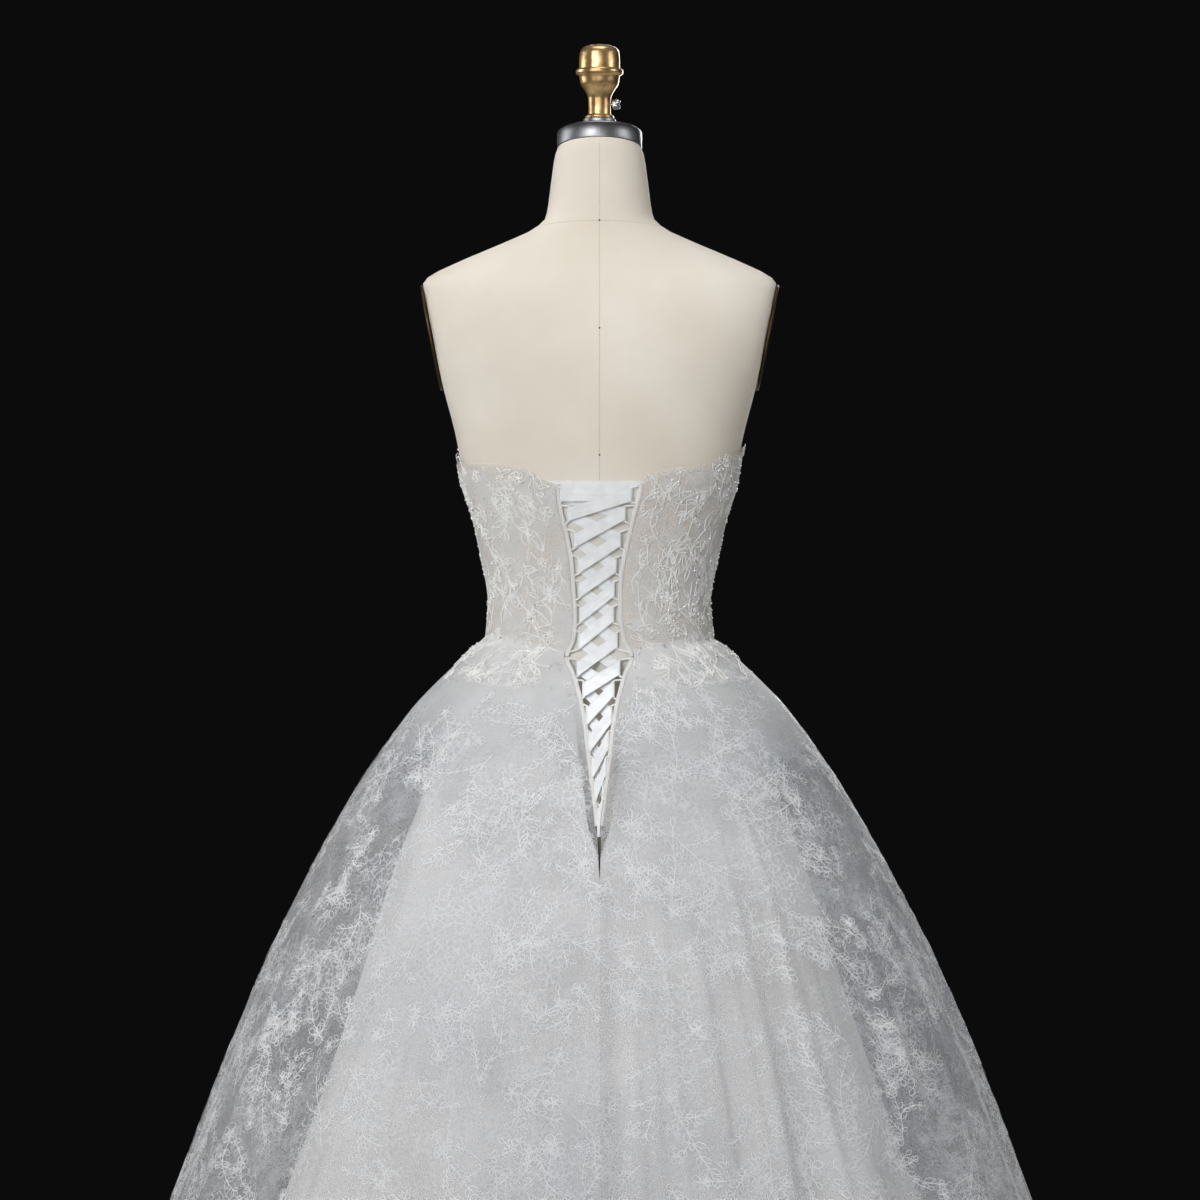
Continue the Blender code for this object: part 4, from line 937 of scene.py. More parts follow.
for name, first, last, columns, cut, area in BODICE_PANELS:
    shares = np.linspace(0, 1, BODICE_ROWS)
    angle, height = panel_grid(first, last, columns, shares, bodice_foot, lining_edge)
    outside = on_cloth(angle, height, clearance(angle) + BODICE_THICK - SHELL_SUNK)
    inside = on_cloth(angle, height, clearance(angle) + BODICE_INSIDE)
    panel = wall(name + "_shell", outside, inside)
    dress(panel, nude_net, "lace", name)
    shares = np.linspace(0, 1, NET_EDGE_ROWS)
    angle, height = panel_grid(first, last, columns, shares, under_lining_edge, neckline_height)
    points = on_cloth(angle, height, clearance(angle) + BODICE_THICK)
    edging = mesh_from(name + "_net_edge", points.reshape(-1, 3), grid_faces(*angle.shape))
    dress(edging, sheer_edge, "lace")


# Lining: plain ivory satin in three panels, sewn into the waist seam with the skirt. It hangs close under the
# skirt at the waist and is much less full at the hem, where it ends a little higher.
LINING_EDGE_BACK, LINING_CLOSED, LINING_FULL = 0.010, 0.806, 0.850
LINING_LACKS, LINING_LACKS_FROM = 0.35, 0.3
LINING_TOP_DROP, LINING_ROWS = 1.0 * MM, 80
LINING_PANELS = (
    # node, first seam, last seam, columns, cut width and length, cut area
    ("lining_back_left", -SIDE_SEAM, "left_edge", 90, (0.75, 1.05), 0.50),
    ("lining_back_right", "right_edge", SIDE_SEAM, 90, (0.75, 1.05), 0.50),
    ("lining_front", SIDE_SEAM, 360 - SIDE_SEAM, 150, (1.40, 1.05), 0.93),
)

# Lining satin, dull side out: opaque and off-white, with a soft sheen along the folds
satin, tree, shader, place = finish(
    "ivory_lining_satin", roughness=0.5, sheen_weight=0.3, sheen_roughness=0.4
)
mottled(tree, shader, place, 7.0, "#E5E3E2", "#EEECEB")
# The weave of 0.1 mm is far too fine to show, so a faint slub 2 mm apart stands for it
slub_place = node(tree, "ShaderNodeMapping", {"Vector": place, "Scale": (90, 90, 12)})
slub = node(tree, "ShaderNodeTexNoise", {"Vector": slub_place.outputs["Vector"], "Scale": 6, "Detail": 3})
relief = {"Height": slub.outputs["Fac"], "Distance": 0.5 * MM, "Strength": 0.3}
node(tree, "ShaderNodeBump", relief, to=shader.inputs["Normal"])


def lining_radius(angle, height):
    """The lining's radius: close under the skirt at the waist, and less full lower down."""
    drop = seam_height(angle) - height
    level = clearance(angle) + BODICE_THICK - SKIRT_THICK - SEAM_GAP - LINING_THICK / 2
    droop = through(FLARE, 2, drop) * fullness(angle)
    lacks = LINING_LACKS * fold_depth(angle, drop) * eased(drop / LINING_LACKS_FROM)
    return cloth_radius(angle, height, level) - droop - lacks


for name, first, last, columns, cut, area in LINING_PANELS:
    share = np.linspace(0, 1, LINING_ROWS)[:, None]
    across = np.linspace(0, 1, columns)[None, :]
    angle = np.zeros((LINING_ROWS, columns))
    for _ in range(LINING_ROUNDS):
        top = seam_height(angle) - LINING_TOP_DROP
        height = top + share * (LINING_HEM - top)
        bounds = []
        for seam in (first, last):
            edge = height[:, -1] if seam == last else height[:, 0]
            if isinstance(seam, str):
                side = -1 if seam == "left_edge" else 1
                back = LINING_EDGE_BACK * eased((edge - LINING_CLOSED) / (LINING_FULL - LINING_CLOSED))
                reach = side * (opening_edge(side, edge) + back)
                bound = reach / lining_radius(np.zeros_like(reach), edge)
                for _ in range(ANGLE_ROUNDS):
                    bound = np.arcsin(reach / lining_radius(bound, edge))
            else:
                bound = np.full_like(edge, math.radians(seam))
            bounds.append(bound)
        angle = bounds[0][:, None] * (1 - across) + bounds[1][:, None] * across
    points = at_polar(angle, height, lining_radius(angle, height))
    made = mesh_from(name + "_satin", points.reshape(-1, 3), grid_faces(*angle.shape))
    dress(made, satin, "lining", name)


# Skirt: a full overskirt of fine ivory net in three panels, gathered into the waist seam. Its hem is turned
# up once and caught by hand.
HEM_TURN_UP, HEM_ROWS = 14.0 * MM, 4
# Rows stand closer together near the waist, where the skirt curves most
SKIRT_ROWS, ROW_SPREAD = 110, 1.15
SKIRT_PANELS = (
    # node, first seam, last seam, columns, cut width and length, cut area
    ("skirt_back_left", -SIDE_SEAM, "left_edge", 110, (0.97, 1.16), 0.66),
    ("skirt_back_right", "right_edge", SIDE_SEAM, 110, (0.97, 1.16), 0.66),
    ("skirt_front", SIDE_SEAM, 360 - SIDE_SEAM, 200, (1.85, 1.16), 1.24),
)

# Tulle: a cool white veil, sheer where it is single and hazy where it gathers or turns away from the eye
tulle, tree, shader, place = finish("fine_ivory_tulle", roughness=0.7, sheen_weight=0.35, sheen_roughness=0.5)
mottled(tree, shader, place, 5.0, "#DBE0E8", "#E9EAEC")
# The mesh is 1 mm across, drawn 2.5 mm across so that it shows
holes = node(tree, "ShaderNodeTexVoronoi", {"Vector": place, "Scale": 400}, feature="DISTANCE_TO_EDGE")
meshes = {"Value": holes.outputs["Distance"], "From Max": 0.3, "To Min": 0.36, "To Max": 0.14}
mesh_share = node(tree, "ShaderNodeMapRange", meshes)
# It is denser in soft clouds about 125 mm across, and where it is gathered, from the waist down to 0.90 m
clouds = node(tree, "ShaderNodeTexNoise", {"Vector": place, "Scale": 8, "Detail": 5, "Roughness": 0.6})
cloudy = {"Value": clouds.outputs["Fac"], "From Min": 0.4, "From Max": 0.7, "To Min": 0, "To Max": 0.12}
cloud_share = node(tree, "ShaderNodeMapRange", cloudy)
split = node(tree, "ShaderNodeSeparateXYZ", {"Vector": place})
upper = {"Value": split.outputs["Z"], "From Min": 0.90, "From Max": 1.01, "To Min": 0, "To Max": 0.42}
gathered = node(tree, "ShaderNodeMapRange", upper)
# Fine tracery of thread fills the net between the sprays, in bent cells 8 mm across and patches 55 mm across
bending = node(tree, "ShaderNodeTexNoise", {"Vector": place, "Scale": 60, "Detail": 2})
bent = node(tree, "ShaderNodeMix", {0: 0.02, 4: place, 5: bending.outputs["Color"]}, data_type="VECTOR")
cells = {"Vector": bent.outputs[1], "Scale": 125}
traced = node(tree, "ShaderNodeTexVoronoi", cells, feature="DISTANCE_TO_EDGE")
along = {"Value": traced.outputs["Distance"], "From Max": 0.10, "To Min": 1, "To Max": 0}
lines = node(tree, "ShaderNodeMapRange", along)
patches = node(tree, "ShaderNodeTexNoise", {"Vector": place, "Scale": 18, "Detail": 3})
patched = {"Value": patches.outputs["Fac"], "From Min": 0.46, "From Max": 0.58, "To Min": 0, "To Max": 0.45}
patch_share = node(tree, "ShaderNodeMapRange", patched)
both = {0: lines.outputs["Result"], 1: patch_share.outputs["Result"]}
covered = node(tree, "ShaderNodeMath", both, operation="MULTIPLY")
shares = {0: mesh_share.outputs["Result"], 1: cloud_share.outputs["Result"]}
partly = node(tree, "ShaderNodeMath", shares, operation="ADD")
shares = {0: partly.outputs[0], 1: gathered.outputs["Result"]}
wholly = node(tree, "ShaderNodeMath", shares, operation="ADD")
shares = {0: wholly.outputs[0], 1: covered.outputs[0]}
node(tree, "ShaderNodeMath", shares, to=shader.inputs["Alpha"], operation="ADD", use_clamp=True)


def skirt_top(angle):
    """The skirt's upper edge, just under the waist seam."""
    return seam_height(angle) - SEAM_GAP / 2


def skirt_foot(angle):
    """The skirt's lower edge, level all round."""
    return SKIRT_HEM + 0 * angle


for name, first, last, columns, cut, area in SKIRT_PANELS:
    shares = np.linspace(0, 1, SKIRT_ROWS) ** ROW_SPREAD
    angle, height = panel_grid(first, last, columns, shares, skirt_top, skirt_foot)
    level = clearance(angle) + BODICE_THICK - SKIRT_THICK / 3
    turned_up = np.linspace(0.1, 1, HEM_ROWS)[:, None] * HEM_TURN_UP + skirt_foot(angle[:1])
    hem_angle = np.repeat(angle[-1:], HEM_ROWS, axis=0)
    outer = on_cloth(angle, height, level)
    inner = on_cloth(hem_angle, turned_up, clearance(hem_angle) + BODICE_THICK - 2 * SKIRT_THICK)
    points = np.concatenate([outer, inner])
    made = mesh_from(name + "_net", points.reshape(-1, 3), grid_faces(*points.shape[:2])[:, ::-1])
    dress(made, tulle, "embroidered_net", name)


# Embroidery: sprays of paired leaves and small blossoms in white corded thread, couched down on the net. Each
# is drawn flat, in millimetres, and then laid on the cloth. Some petals are filled with finer stitches.
LEAF = np.array([(0, 0), (0.34, 0.27), (0.74, 0.22), (1, 0), (0.56, -0.24), (0, 0)])
PETAL = np.array([(0.12, 0), (0.5, 0.34), (0.88, 0.32), (1.0, 0), (0.88, -0.32), (0.5, -0.34), (0.12, 0)])
STEM_POINTS, TWIG_POINTS = 10, 7
SKIRT_SPRAYS = (
    # piece, first angle, last angle, seed
    ("back_left", -90, 0, 11),
    ("back_right", 0, 90, 12),
    ("front_right", 90, 180, 13),
    ("front_left", 180, 270, 14),
)
STEM_WIDE, THREAD_WIDE, THREAD_LIFT = 0.9 * MM, 0.75 * MM, 0.3 * MM
# How far apart the sprays start, their lengths and their leaves' in mm, how far they lean, and how many hang
# down
SPRAY_APART, SPRAY_SIZES, SPRAY_TILT, SPRAYS_DOWN = 0.0555, ((55, 105), (8.0, 13.0)), 1.0, 0.6
# Of a row of spots: how far each wanders along it and up or down, and how close the rows are
SPOT_WANDERS_ALONG, SPOT_WANDERS_UP, ROWS_CLOSER = 0.45, 0.42, 0.9
TWIGS_AT, TIP_BLOSSOMS, FOOT_BLOSSOMS, FILLED_SHARE = (1, 3, 5), 0.35, 0.55, 0.35
SKIRT_MARGIN, HEM_MARGIN, BARE_OVER = 2.5 * MM, 3 * MM, 2.0
# Below this the opening is closed, and the embroidery runs on across it
OPENING_FOOT = 0.79
# The cloth's slope is taken over this height, and the opening is looked for where the cosine of the angle
# is over this
SLOPE_OVER, BEHIND_OVER = 0.01, 0.5


def turned_by(shape, heading):
    """A flat shape turned to a heading."""
    cos, sin = math.cos(heading), math.sin(heading)
    return shape @ np.array([(cos, sin), (-sin, cos)])


def stem(chance, start, heading, long, bend, count):
    """A stem that bends as it grows: its points, and its heading between them."""
    headings = heading + bend * np.linspace(0, 1, count - 1) ** 1.3 + chance.normal(0, 0.1, count - 1)
    moves = np.stack([np.cos(headings), np.sin(headings)], axis=1) * (long / (count - 1))
    return np.concatenate([[start], start + np.cumsum(moves, axis=0)]), headings


def blossom(chance, middle, size, petals, slim=1.0):
    """A flower of outlined petals."""
    spin = chance.uniform(0, 2 * math.pi)
    shape = PETAL * (size, size * slim)
    return [middle + turned_by(shape, spin + number * 2 * math.pi / petals) for number in range(petals)]


def paired_leaves(chance, points, headings, first, long):
    """Leaves in pairs along a stem, from a first distance on, and one at its tip."""
    lines = []
    step = np.linalg.norm(points[1] - points[0])
    reach = first
    while reach < step * len(headings):
        number = int(reach / step)
        spot = points[number] + (points[number + 1] - points[number]) * (reach / step - number)
        for side in (-1, 1):
            size = long * chance.uniform(0.65, 1.15)
            heading = headings[number] + side * chance.uniform(0.5, 1.0)
            lines.append(spot + turned_by(LEAF * (size, side * size), heading))
        reach += long * chance.uniform(0.85, 1.35)
    lines.append(points[-1] + turned_by(LEAF * long, headings[-1]))
    return lines


def spray(chance, heading, sizes):
    """One spray: its stems, its leaves and its petals."""
    long, leaf_long = [chance.uniform(*span) for span in sizes]
    points, headings = stem(chance, np.zeros(2), heading, long, chance.uniform(-2.0, 2.0), STEM_POINTS)
    stems = [points]
    leaves = paired_leaves(chance, points, headings, long * 0.15, leaf_long)
    petals = []
    side = chance.choice((-1, 1))
    for number in TWIGS_AT:
        side = -side
        twig_long = long * chance.uniform(0.30, 0.52) * (1 - 0.06 * number)
        out = headings[number] + side * chance.uniform(0.55, 1.0)
        bend = side * chance.uniform(-0.9, 1.1)
        twig, twig_headings = stem(chance, points[number], out, twig_long, bend, TWIG_POINTS)
        stems.append(twig)
        leaves += paired_leaves(chance, twig, twig_headings, twig_long * 0.25, leaf_long * 0.75)
        if chance.random() < TIP_BLOSSOMS:
            petals += blossom(chance, twig[-1], leaf_long * 0.75, 5)
    if chance.random() < FOOT_BLOSSOMS:
        middle = points[1] + chance.normal(0, 2, 2)
        petals += blossom(chance, middle, leaf_long * chance.uniform(0.8, 1.1), 5)
        petals += blossom(chance, middle, leaf_long * 0.45, 7, 0.5)
    return stems, leaves, petals


def scattered(seed, first, last, low, high, apart, draw, sizes, tilt, down, skip):
    """Motifs spread evenly but not regularly over a stretch of cloth: each kind's lines, with their spots.

    A motif is drawn also where it is then skipped, so that the ones after it stay as they are.
    """
    chance = np.random.default_rng(seed)
    kinds = [], [], []
    height = low
    while height < high:
        middle = np.array([math.radians((first + last) / 2)])
        radius = cloth_radius(middle, np.array([height]), 0.0)[0]
        count = max(round(radius * math.radians(last - first) / apart), 1)
        for number in range(count):
            along = number + 0.5 + chance.uniform(-SPOT_WANDERS_ALONG, SPOT_WANDERS_ALONG)
            angle = math.radians(first + (last - first) * along / count)
            spot = height + chance.uniform(-SPOT_WANDERS_UP, SPOT_WANDERS_UP) * apart
            heading = math.pi / 2 + chance.uniform(-tilt, tilt) + math.pi * (chance.random() < down)
            drawn = draw(chance, heading, sizes)
            if not skip(angle, spot):
                for kind, lines in zip(kinds, drawn):
                    kind += [(angle, spot, line * MM) for line in lines]
        height += apart * ROWS_CLOSER
    return kinds


def laid(drawn, lift, lowest, highest, margin):
    """Drawn lines laid on the cloth, as groups of points and normals.

    Lines that would leave the cloth, or come within the margin of the laced opening, are left out.
    """
    by_length = {}
    for angle, spot, line in drawn:
        by_length.setdefault(len(line), []).append((angle, spot, line))
    groups = []
    for kin in by_length.values():
        angle = np.array([row[0] for row in kin])[:, None]
        spot = np.array([row[1] for row in kin])[:, None]
        flat = np.array([row[2] for row in kin])
        radius = cloth_radius(angle, spot, 0.0)
        slope = (cloth_radius(angle, spot - SLOPE_OVER, 0.0) - radius) / SLOPE_OVER
        turn = angle + flat[..., 0] / radius
        tall = spot + flat[..., 1] / np.hypot(1, slope)
        points, normals = normals_of(on_cloth, turn, tall, clearance(turn) + BODICE_THICK + lift)
        edge = np.where(points[..., 0] < 0, opening_edge(-1, tall), opening_edge(1, tall))
        edge = edge + np.where(tall > PIPING_END - PIPING_ROOM_BELOW, PIPING_WIDE, 0) + margin
        behind = np.cos(turn) > BEHIND_OVER
        out = behind & (np.abs(points[..., 0]) < edge) & (tall > OPENING_FOOT)
        out |= (tall < lowest(turn)) | (tall > highest(turn))
        kept = ~out.any(axis=1)
        if kept.any():
            groups.append((points[kept], normals[kept]))
    return groups


def filled(groups, chance):
    """Points and faces that fill some of the outlined petals."""
    outlines = np.concatenate([points for points, _ in groups])[:, :-1]
    outlines = outlines[chance.random(len(outlines)) < FILLED_SHARE]
    corners = np.arange(outlines[..., 0].size).reshape(outlines.shape[:2])
    return outlines.reshape(-1, 3), corners


def bare(angle, height):
    """Whether the embroidery leaves this place bare."""
    wander = np.sin(9.1 * angle + 11.0 * height) + np.sin(14.3 * angle - 19.0 * height + 1.7)
    return wander + np.sin(5.7 * angle + 31.0 * height + 0.6) > BARE_OVER


def over_hem(angle):
    """The lowest that embroidery reaches on the skirt."""
    return SKIRT_HEM + HEM_MARGIN + 0 * angle


# Corded cotton thread: white and soft, a little brighter than the net. Its twist of 0.3 mm is drawn 0.7 mm
# long
white_thread, tree, shader, place = finish(
    "white_corded_thread", roughness=0.5, sheen_weight=0.3, sheen_roughness=0.4
)
mottled(tree, shader, place, 60.0, "#D9DCE0", "#E7E9EB")
twist = node(tree, "ShaderNodeTexNoise", {"Vector": place, "Scale": 1500, "Detail": 2})
relief = {"Height": twist.outputs["Fac"], "Distance": 0.2 * MM, "Strength": 0.4}
node(tree, "ShaderNodeBump", relief, to=shader.inputs["Normal"])

# Filling stitches of one fine thread: a thin white haze within a petal, 1.4 mm between stitches
fine_stitches, tree, shader, place = finish("fine_filling_stitches", roughness=0.65, sheen_weight=0.3)
mottled(tree, shader, place, 60.0, "#D6D9DD", "#E3E5E8")
stitches = node(tree, "ShaderNodeTexVoronoi", {"Vector": place, "Scale": 700})
stitched = {"Value": stitches.outputs["Distance"], "To Min": 0.55, "To Max": 0.15}
node(tree, "ShaderNodeMapRange", stitched, to=shader.inputs["Alpha"])

for label, first, last, seed in SKIRT_SPRAYS:
    stretch = first, last, SKIRT_HEM + 0.02, SEAM_SIDE
    drawn = scattered(seed, *stretch, SPRAY_APART, spray, SPRAY_SIZES, SPRAY_TILT, SPRAYS_DOWN, bare)
    stems, leaves, petals = [laid(kind, THREAD_LIFT, over_hem, seam_height, SKIRT_MARGIN) for kind in drawn]
    branches = mesh_from("skirt_stems_" + label, *strips(stems, STEM_WIDE))
    outlines = mesh_from("skirt_leaves_" + label, *strips(leaves + petals, THREAD_WIDE))
    stitching = mesh_from("skirt_filling_" + label, *filled(petals, np.random.default_rng(seed)))
    dress(branches, white_thread, "embroidered_net")
    dress(outlines, white_thread, "embroidered_net")
    dress(stitching, fine_stitches, "embroidered_net")


# Bodice lace: the same sprays, smaller and closer, under heavier cord in long leaves and scrolls. It pokes
# over the top edge and runs on over the waist seam. Small clear and pearl beads are sewn along it.
LONG_LEAF = np.array(
    [(0, 0), (0.2, 0.10), (0.47, 0.17), (0.78, 0.15), (1, 0.04), (0.74, -0.05), (0.4, -0.07), (0, 0)]
)
BODICE_SPRAYS = (
    # piece, first angle, last angle, seed
    ("back_left", -90, -13, 21),
    ("back_right", 13, 90, 22),
    ("side_right", 90, 146, 23),
    ("side_left", 214, 270, 24),
    ("front", 146, 214, 25),
)
LACE_APART, LACE_SIZES, LACE_TILT, LACE_LIFT = 0.027, ((26, 44), (5.0, 8.5)), 1.5, 0.1 * MM
CORD_APART, CORD_SIZES, CORD_TILT, CORD_LIFT, CORDS_DOWN = 0.019, ((16, 30),), 0.8, 0.2 * MM, 0.5
CORD_WIDE, CORD_CROWN, SCROLL_POINTS, SCROLL_FLOWERS = 1.4 * MM, 0.9 * MM, 12, 0.35
OVER_NECKLINE, BELOW_WAIST, LACE_MARGIN, NUDE_OVER = 6 * MM, 42 * MM, 1.5 * MM, 1.1
LACE_TOP_BACK, LACE_TOP_FRONT, CORDS_START = 1.235, 1.325, 0.01
# The points of a motif that carry a bead, and the share of motifs that do
BEADS_AT, BEAD_SHARE, BEAD_RADIUS, BEAD_SIDES = (0, 3), 0.42, 1.25 * MM, 6


def scroll(chance, heading, sizes):
    """A motif of heavy cord: no thin stems, a long waving one with slim leaves, and sometimes a flower."""
    leaf_long = chance.uniform(*sizes[0])
    bend = chance.uniform(-1.2, 1.2)
    points, headings = stem(chance, np.zeros(2), heading, leaf_long * 2.0, bend, SCROLL_POINTS)
    side = chance.choice((-1, 1))
    wave = np.sin(np.linspace(0, chance.uniform(4.0, 8.0), SCROLL_POINTS))[:, None] * leaf_long * 0.10
    points = points + wave * (-math.sin(heading), math.cos(heading))
    lines = [points]
    for number in (3, 7):
        side = -side
        size = leaf_long * chance.uniform(0.5, 0.95)
        shape = LONG_LEAF * (size, side * size * chance.uniform(0.9, 1.6))
        lines.append(points[number] + turned_by(shape, headings[number] + side * chance.uniform(0.3, 0.9)))
    petals = blossom(chance, points[0], leaf_long * 0.26, 5) if chance.random() < SCROLL_FLOWERS else []
    return [], lines, petals


def nude_patch(angle, height):
    """Whether the lace leaves this place of the bodice bare, so that its nude lining shows."""
    wander = np.sin(11.0 * angle + 60.0 * height + 0.4) + np.sin(17.0 * angle - 75.0 * height + 2.1)
    return wander > NUDE_OVER


def lace_foot(angle):
    """The lowest that the bodice's lace runs on over the skirt."""
    return seam_height(angle) - BELOW_WAIST


def lace_top(angle):
    """The highest that a motif pokes over the bodice's top edge."""
    return neckline_height(angle) + OVER_NECKLINE


# Lace cord: ivory, round and full, brighter than its ground. Its twist of 0.3 mm is drawn 0.7 mm long
lace_cord, tree, shader, place = finish(
    "ivory_lace_cord", roughness=0.5, sheen_weight=0.3, sheen_roughness=0.4
)
mottled(tree, shader, place, 45.0, "#E3E2DF", "#F3F3F2")
twist = node(tree, "ShaderNodeTexNoise", {"Vector": place, "Scale": 1500, "Detail": 2})
relief = {"Height": twist.outputs["Fac"], "Distance": 0.2 * MM, "Strength": 0.5}
node(tree, "ShaderNodeBump", relief, to=shader.inputs["Normal"])

# Fine lace thread: matt and a shade darker than the cord, so that the cord stands out over it
lace_thread, tree, shader, place = finish("fine_lace_thread", roughness=0.65, sheen_weight=0.2)
mottled(tree, shader, place, 45.0, "#D8D7D5", "#E2E1E0")

bead_spots = []
for label, first, last, seed in BODICE_SPRAYS:
    low = SEAM_SIDE - BELOW_WAIST
    high = LACE_TOP_BACK if "back" in label else LACE_TOP_FRONT
    stretch = first, last, low, high
    drawn = scattered(seed, *stretch, LACE_APART, spray, LACE_SIZES, LACE_TILT, SPRAYS_DOWN, nude_patch)
    groups = []
    for kind in drawn:
        groups += laid(kind, LACE_LIFT, lace_foot, neckline_height, LACE_MARGIN)
    made = mesh_from("bodice_lace_" + label, *strips(groups, THREAD_WIDE))
    dress(made, lace_thread, "lace")
    stretch = first, last, low + CORDS_START, high
    drawn = scattered(seed + 10, *stretch, CORD_APART, scroll, CORD_SIZES, CORD_TILT, CORDS_DOWN, nude_patch)
    groups = laid(drawn[1] + drawn[2], CORD_LIFT, lace_foot, lace_top, LACE_MARGIN)
    made = mesh_from("bodice_cord_" + label, *strips(groups, CORD_WIDE, CORD_CROWN))
    dress(made, lace_cord, "lace")
    chance = np.random.default_rng(seed + 20)
    for points, normals in groups:
        chosen = chance.random(len(points)) < BEAD_SHARE
        for number in BEADS_AT:
            bead_spots.append((points + normals * CORD_CROWN)[chosen, number])

# Glass and pearl beads: white, with a hard small glint on each
pearl, tree, shader, place = finish(
    "glass_and_pearl_beads", roughness=0.12, coat_weight=0.6, coat_roughness=0.1
)
mottled(tree, shader, place, 200.0, "#E4E2DC", "#FFFFFF")

turn = np.linspace(0, 2 * math.pi, BEAD_SIDES, endpoint=False)
ball = [(0, 0, -1.0)]
for lift in (-0.45, 0.45):
    wide = math.sqrt(1 - lift**2)
    ball += [(wide * math.cos(t), wide * math.sin(t), lift) for t in turn]
ball.append((0, 0, 1.0))
ball_faces = []
for step in range(BEAD_SIDES):
    low, low_beside = 1 + step, 1 + (step + 1) % BEAD_SIDES
    high, high_beside = low + BEAD_SIDES, low_beside + BEAD_SIDES
    ball_faces.append((0, low_beside, low))
    ball_faces.append((low, low_beside, high_beside))
    ball_faces.append((low, high_beside, high))
    ball_faces.append((high, high_beside, len(ball) - 1))
spots = np.concatenate(bead_spots)
points = (spots[:, None, :] + np.array(ball) * BEAD_RADIUS).reshape(-1, 3)
faces = (np.array(ball_faces)[None] + (np.arange(len(spots)) * len(ball))[:, None, None]).reshape(-1, 3)
beads = mesh_from("bodice_beads", points, faces)
dress(beads, pearl, "lace")


# Lace ground at the waist: the bodice's lace is cut free of its seam and laid down over the top of the skirt.
# Its spidery ground covers the waist seam and thins out below it.
GROUND_FOOT, GROUND_TOP, GROUND_OVER_SEAM, GROUND_LIFT, GROUND_ROWS = 0.925, 1.035, 6 * MM, 0.05 * MM, 24
GROUND_PANELS = (
    # piece, first seam, last seam, columns
    ("left", -SIDE_SEAM, "left_edge", 60),
    ("right", "right_edge", SIDE_SEAM, 60),
    ("front", SIDE_SEAM, 360 - SIDE_SEAM, 110),
)

# Lace ground: matt, a haze of thread that is solid at the seam and broken into flecks 14 mm across lower down
lace_ground, tree, shader, place = finish("lace_ground_over_the_waist", roughness=0.7, sheen_weight=0.2)
mottled(tree, shader, place, 22.0, "#D6D6D6", "#E2E2E3")
split = node(tree, "ShaderNodeSeparateXYZ", {"Vector": place})
upper = {"Value": split.outputs["Z"], "From Min": GROUND_FOOT, "From Max": GROUND_TOP}
fading = node(tree, "ShaderNodeMapRange", upper)
patchy = node(tree, "ShaderNodeTexNoise", {"Vector": place, "Scale": 70, "Detail": 5})
flecks = node(tree, "ShaderNodeMapRange", {"Value": patchy.outputs["Fac"], "From Min": 0.2, "From Max": 0.4})
both = {0: fading.outputs["Result"], 1: flecks.outputs["Result"]}
node(tree, "ShaderNodeMath", both, to=shader.inputs["Alpha"], operation="MULTIPLY")


def ground_foot(angle):
    """The lowest that the lace's ground reaches, level all round."""
    return GROUND_FOOT + 0 * angle


def ground_top(angle):
    """Where the lace's ground starts, over the waist seam."""
    return seam_height(angle) + GROUND_OVER_SEAM


for label, first, last, columns in GROUND_PANELS:
    shares = np.linspace(0, 1, GROUND_ROWS)
    angle, height = panel_grid(first, last, columns, shares, ground_foot, ground_top)
    points = on_cloth(angle, height, clearance(angle) + BODICE_THICK + GROUND_LIFT)
    ground = mesh_from("waist_lace_ground_" + label, points.reshape(-1, 3), grid_faces(*angle.shape))
    dress(ground, lace_ground, "lace")


# Laced edges: a roll of the bodice's own cloth sewn along each edge of the opening, with a row of round loops
# caught in it. They are of satin cord 2.1 mm thick, and each stands up along a fold of the ribbon.
LACING = (
    # height, fold on the -X side, fold on the +X side
    (1.1905, 0.0420, 0.0350),
    (1.1707, 0.0343, 0.0280),
    (1.1433, 0.0275, 0.0232),
    (1.1159, 0.0235, 0.0186),
    (1.0906, 0.0227, 0.0165),
    (1.0642, 0.0220, 0.0160),
    (1.0367, 0.0227, 0.0197),
    (1.0083, 0.0244, 0.0222),
    (0.9865, 0.0185, 0.0162),
    (0.9596, 0.0148, 0.0138),
    (0.9329, 0.0116, 0.0105),
    (0.9065, 0.0087, 0.0080),
    (0.8832, 0.0058, 0.0054),
)
RIBBON_UNDER, RIBBON_OVER, RIBBON_THICK = 2.5 * MM, 6.5 * MM, 0.7 * MM
SOLID_RIBBON_THICK = 1.0 * MM
LOOP_LEVEL, LOOP_RADIUS = 4.5 * MM, 0.9 * MM
RIBBON_WIDE, RIBBON_TALLEST = 0.0127, 0.0185
LOOPS_APART, LAST_LOOP_DROP = 1.2 * MM, 13 * MM
LOOP_BEYOND_FOLD, LOOP_SLOPE, FOLD_CLEARANCE = 0.2 * MM, 1.3 * MM, 0.6 * MM
BODICE_LOOPS, SEAM_EDGE_ANGLE, SEAM_EDGE_GAP = 7, 20.5, 0.5 * MM
CORD_RADIUS, CORD_SIDES, LOOP_STEPS = 1.05 * MM, 10, 34
ROLL_RADIUS, ROLL_SIDES, ROLL_STEPS, ROLL_OUT, ROLL_FLATNESS = 2.5 * MM, 12, 90, -0.6 * MM, 0.45
# A corner of a loop's route is cut off at this share of its sides, so many times
CORNER_CUT, CORNER_CUTS = 0.2, 3


def ribbon_rise(row):
    """How tall the slanting ribbon is where it folds round the loop of this row."""
    rises = []
    for other in (row - 1, row + 1):
        if 0 <= other < len(LACING):
            fall = abs(LACING[row][0] - LACING[other][0])
            span = (LACING[row][1] + LACING[row][2] + LACING[other][1] + LACING[other][2]) / 2
            rises.append(RIBBON_WIDE * math.hypot(fall, span) / span)
    return min(sum(rises) / len(rises), RIBBON_TALLEST)


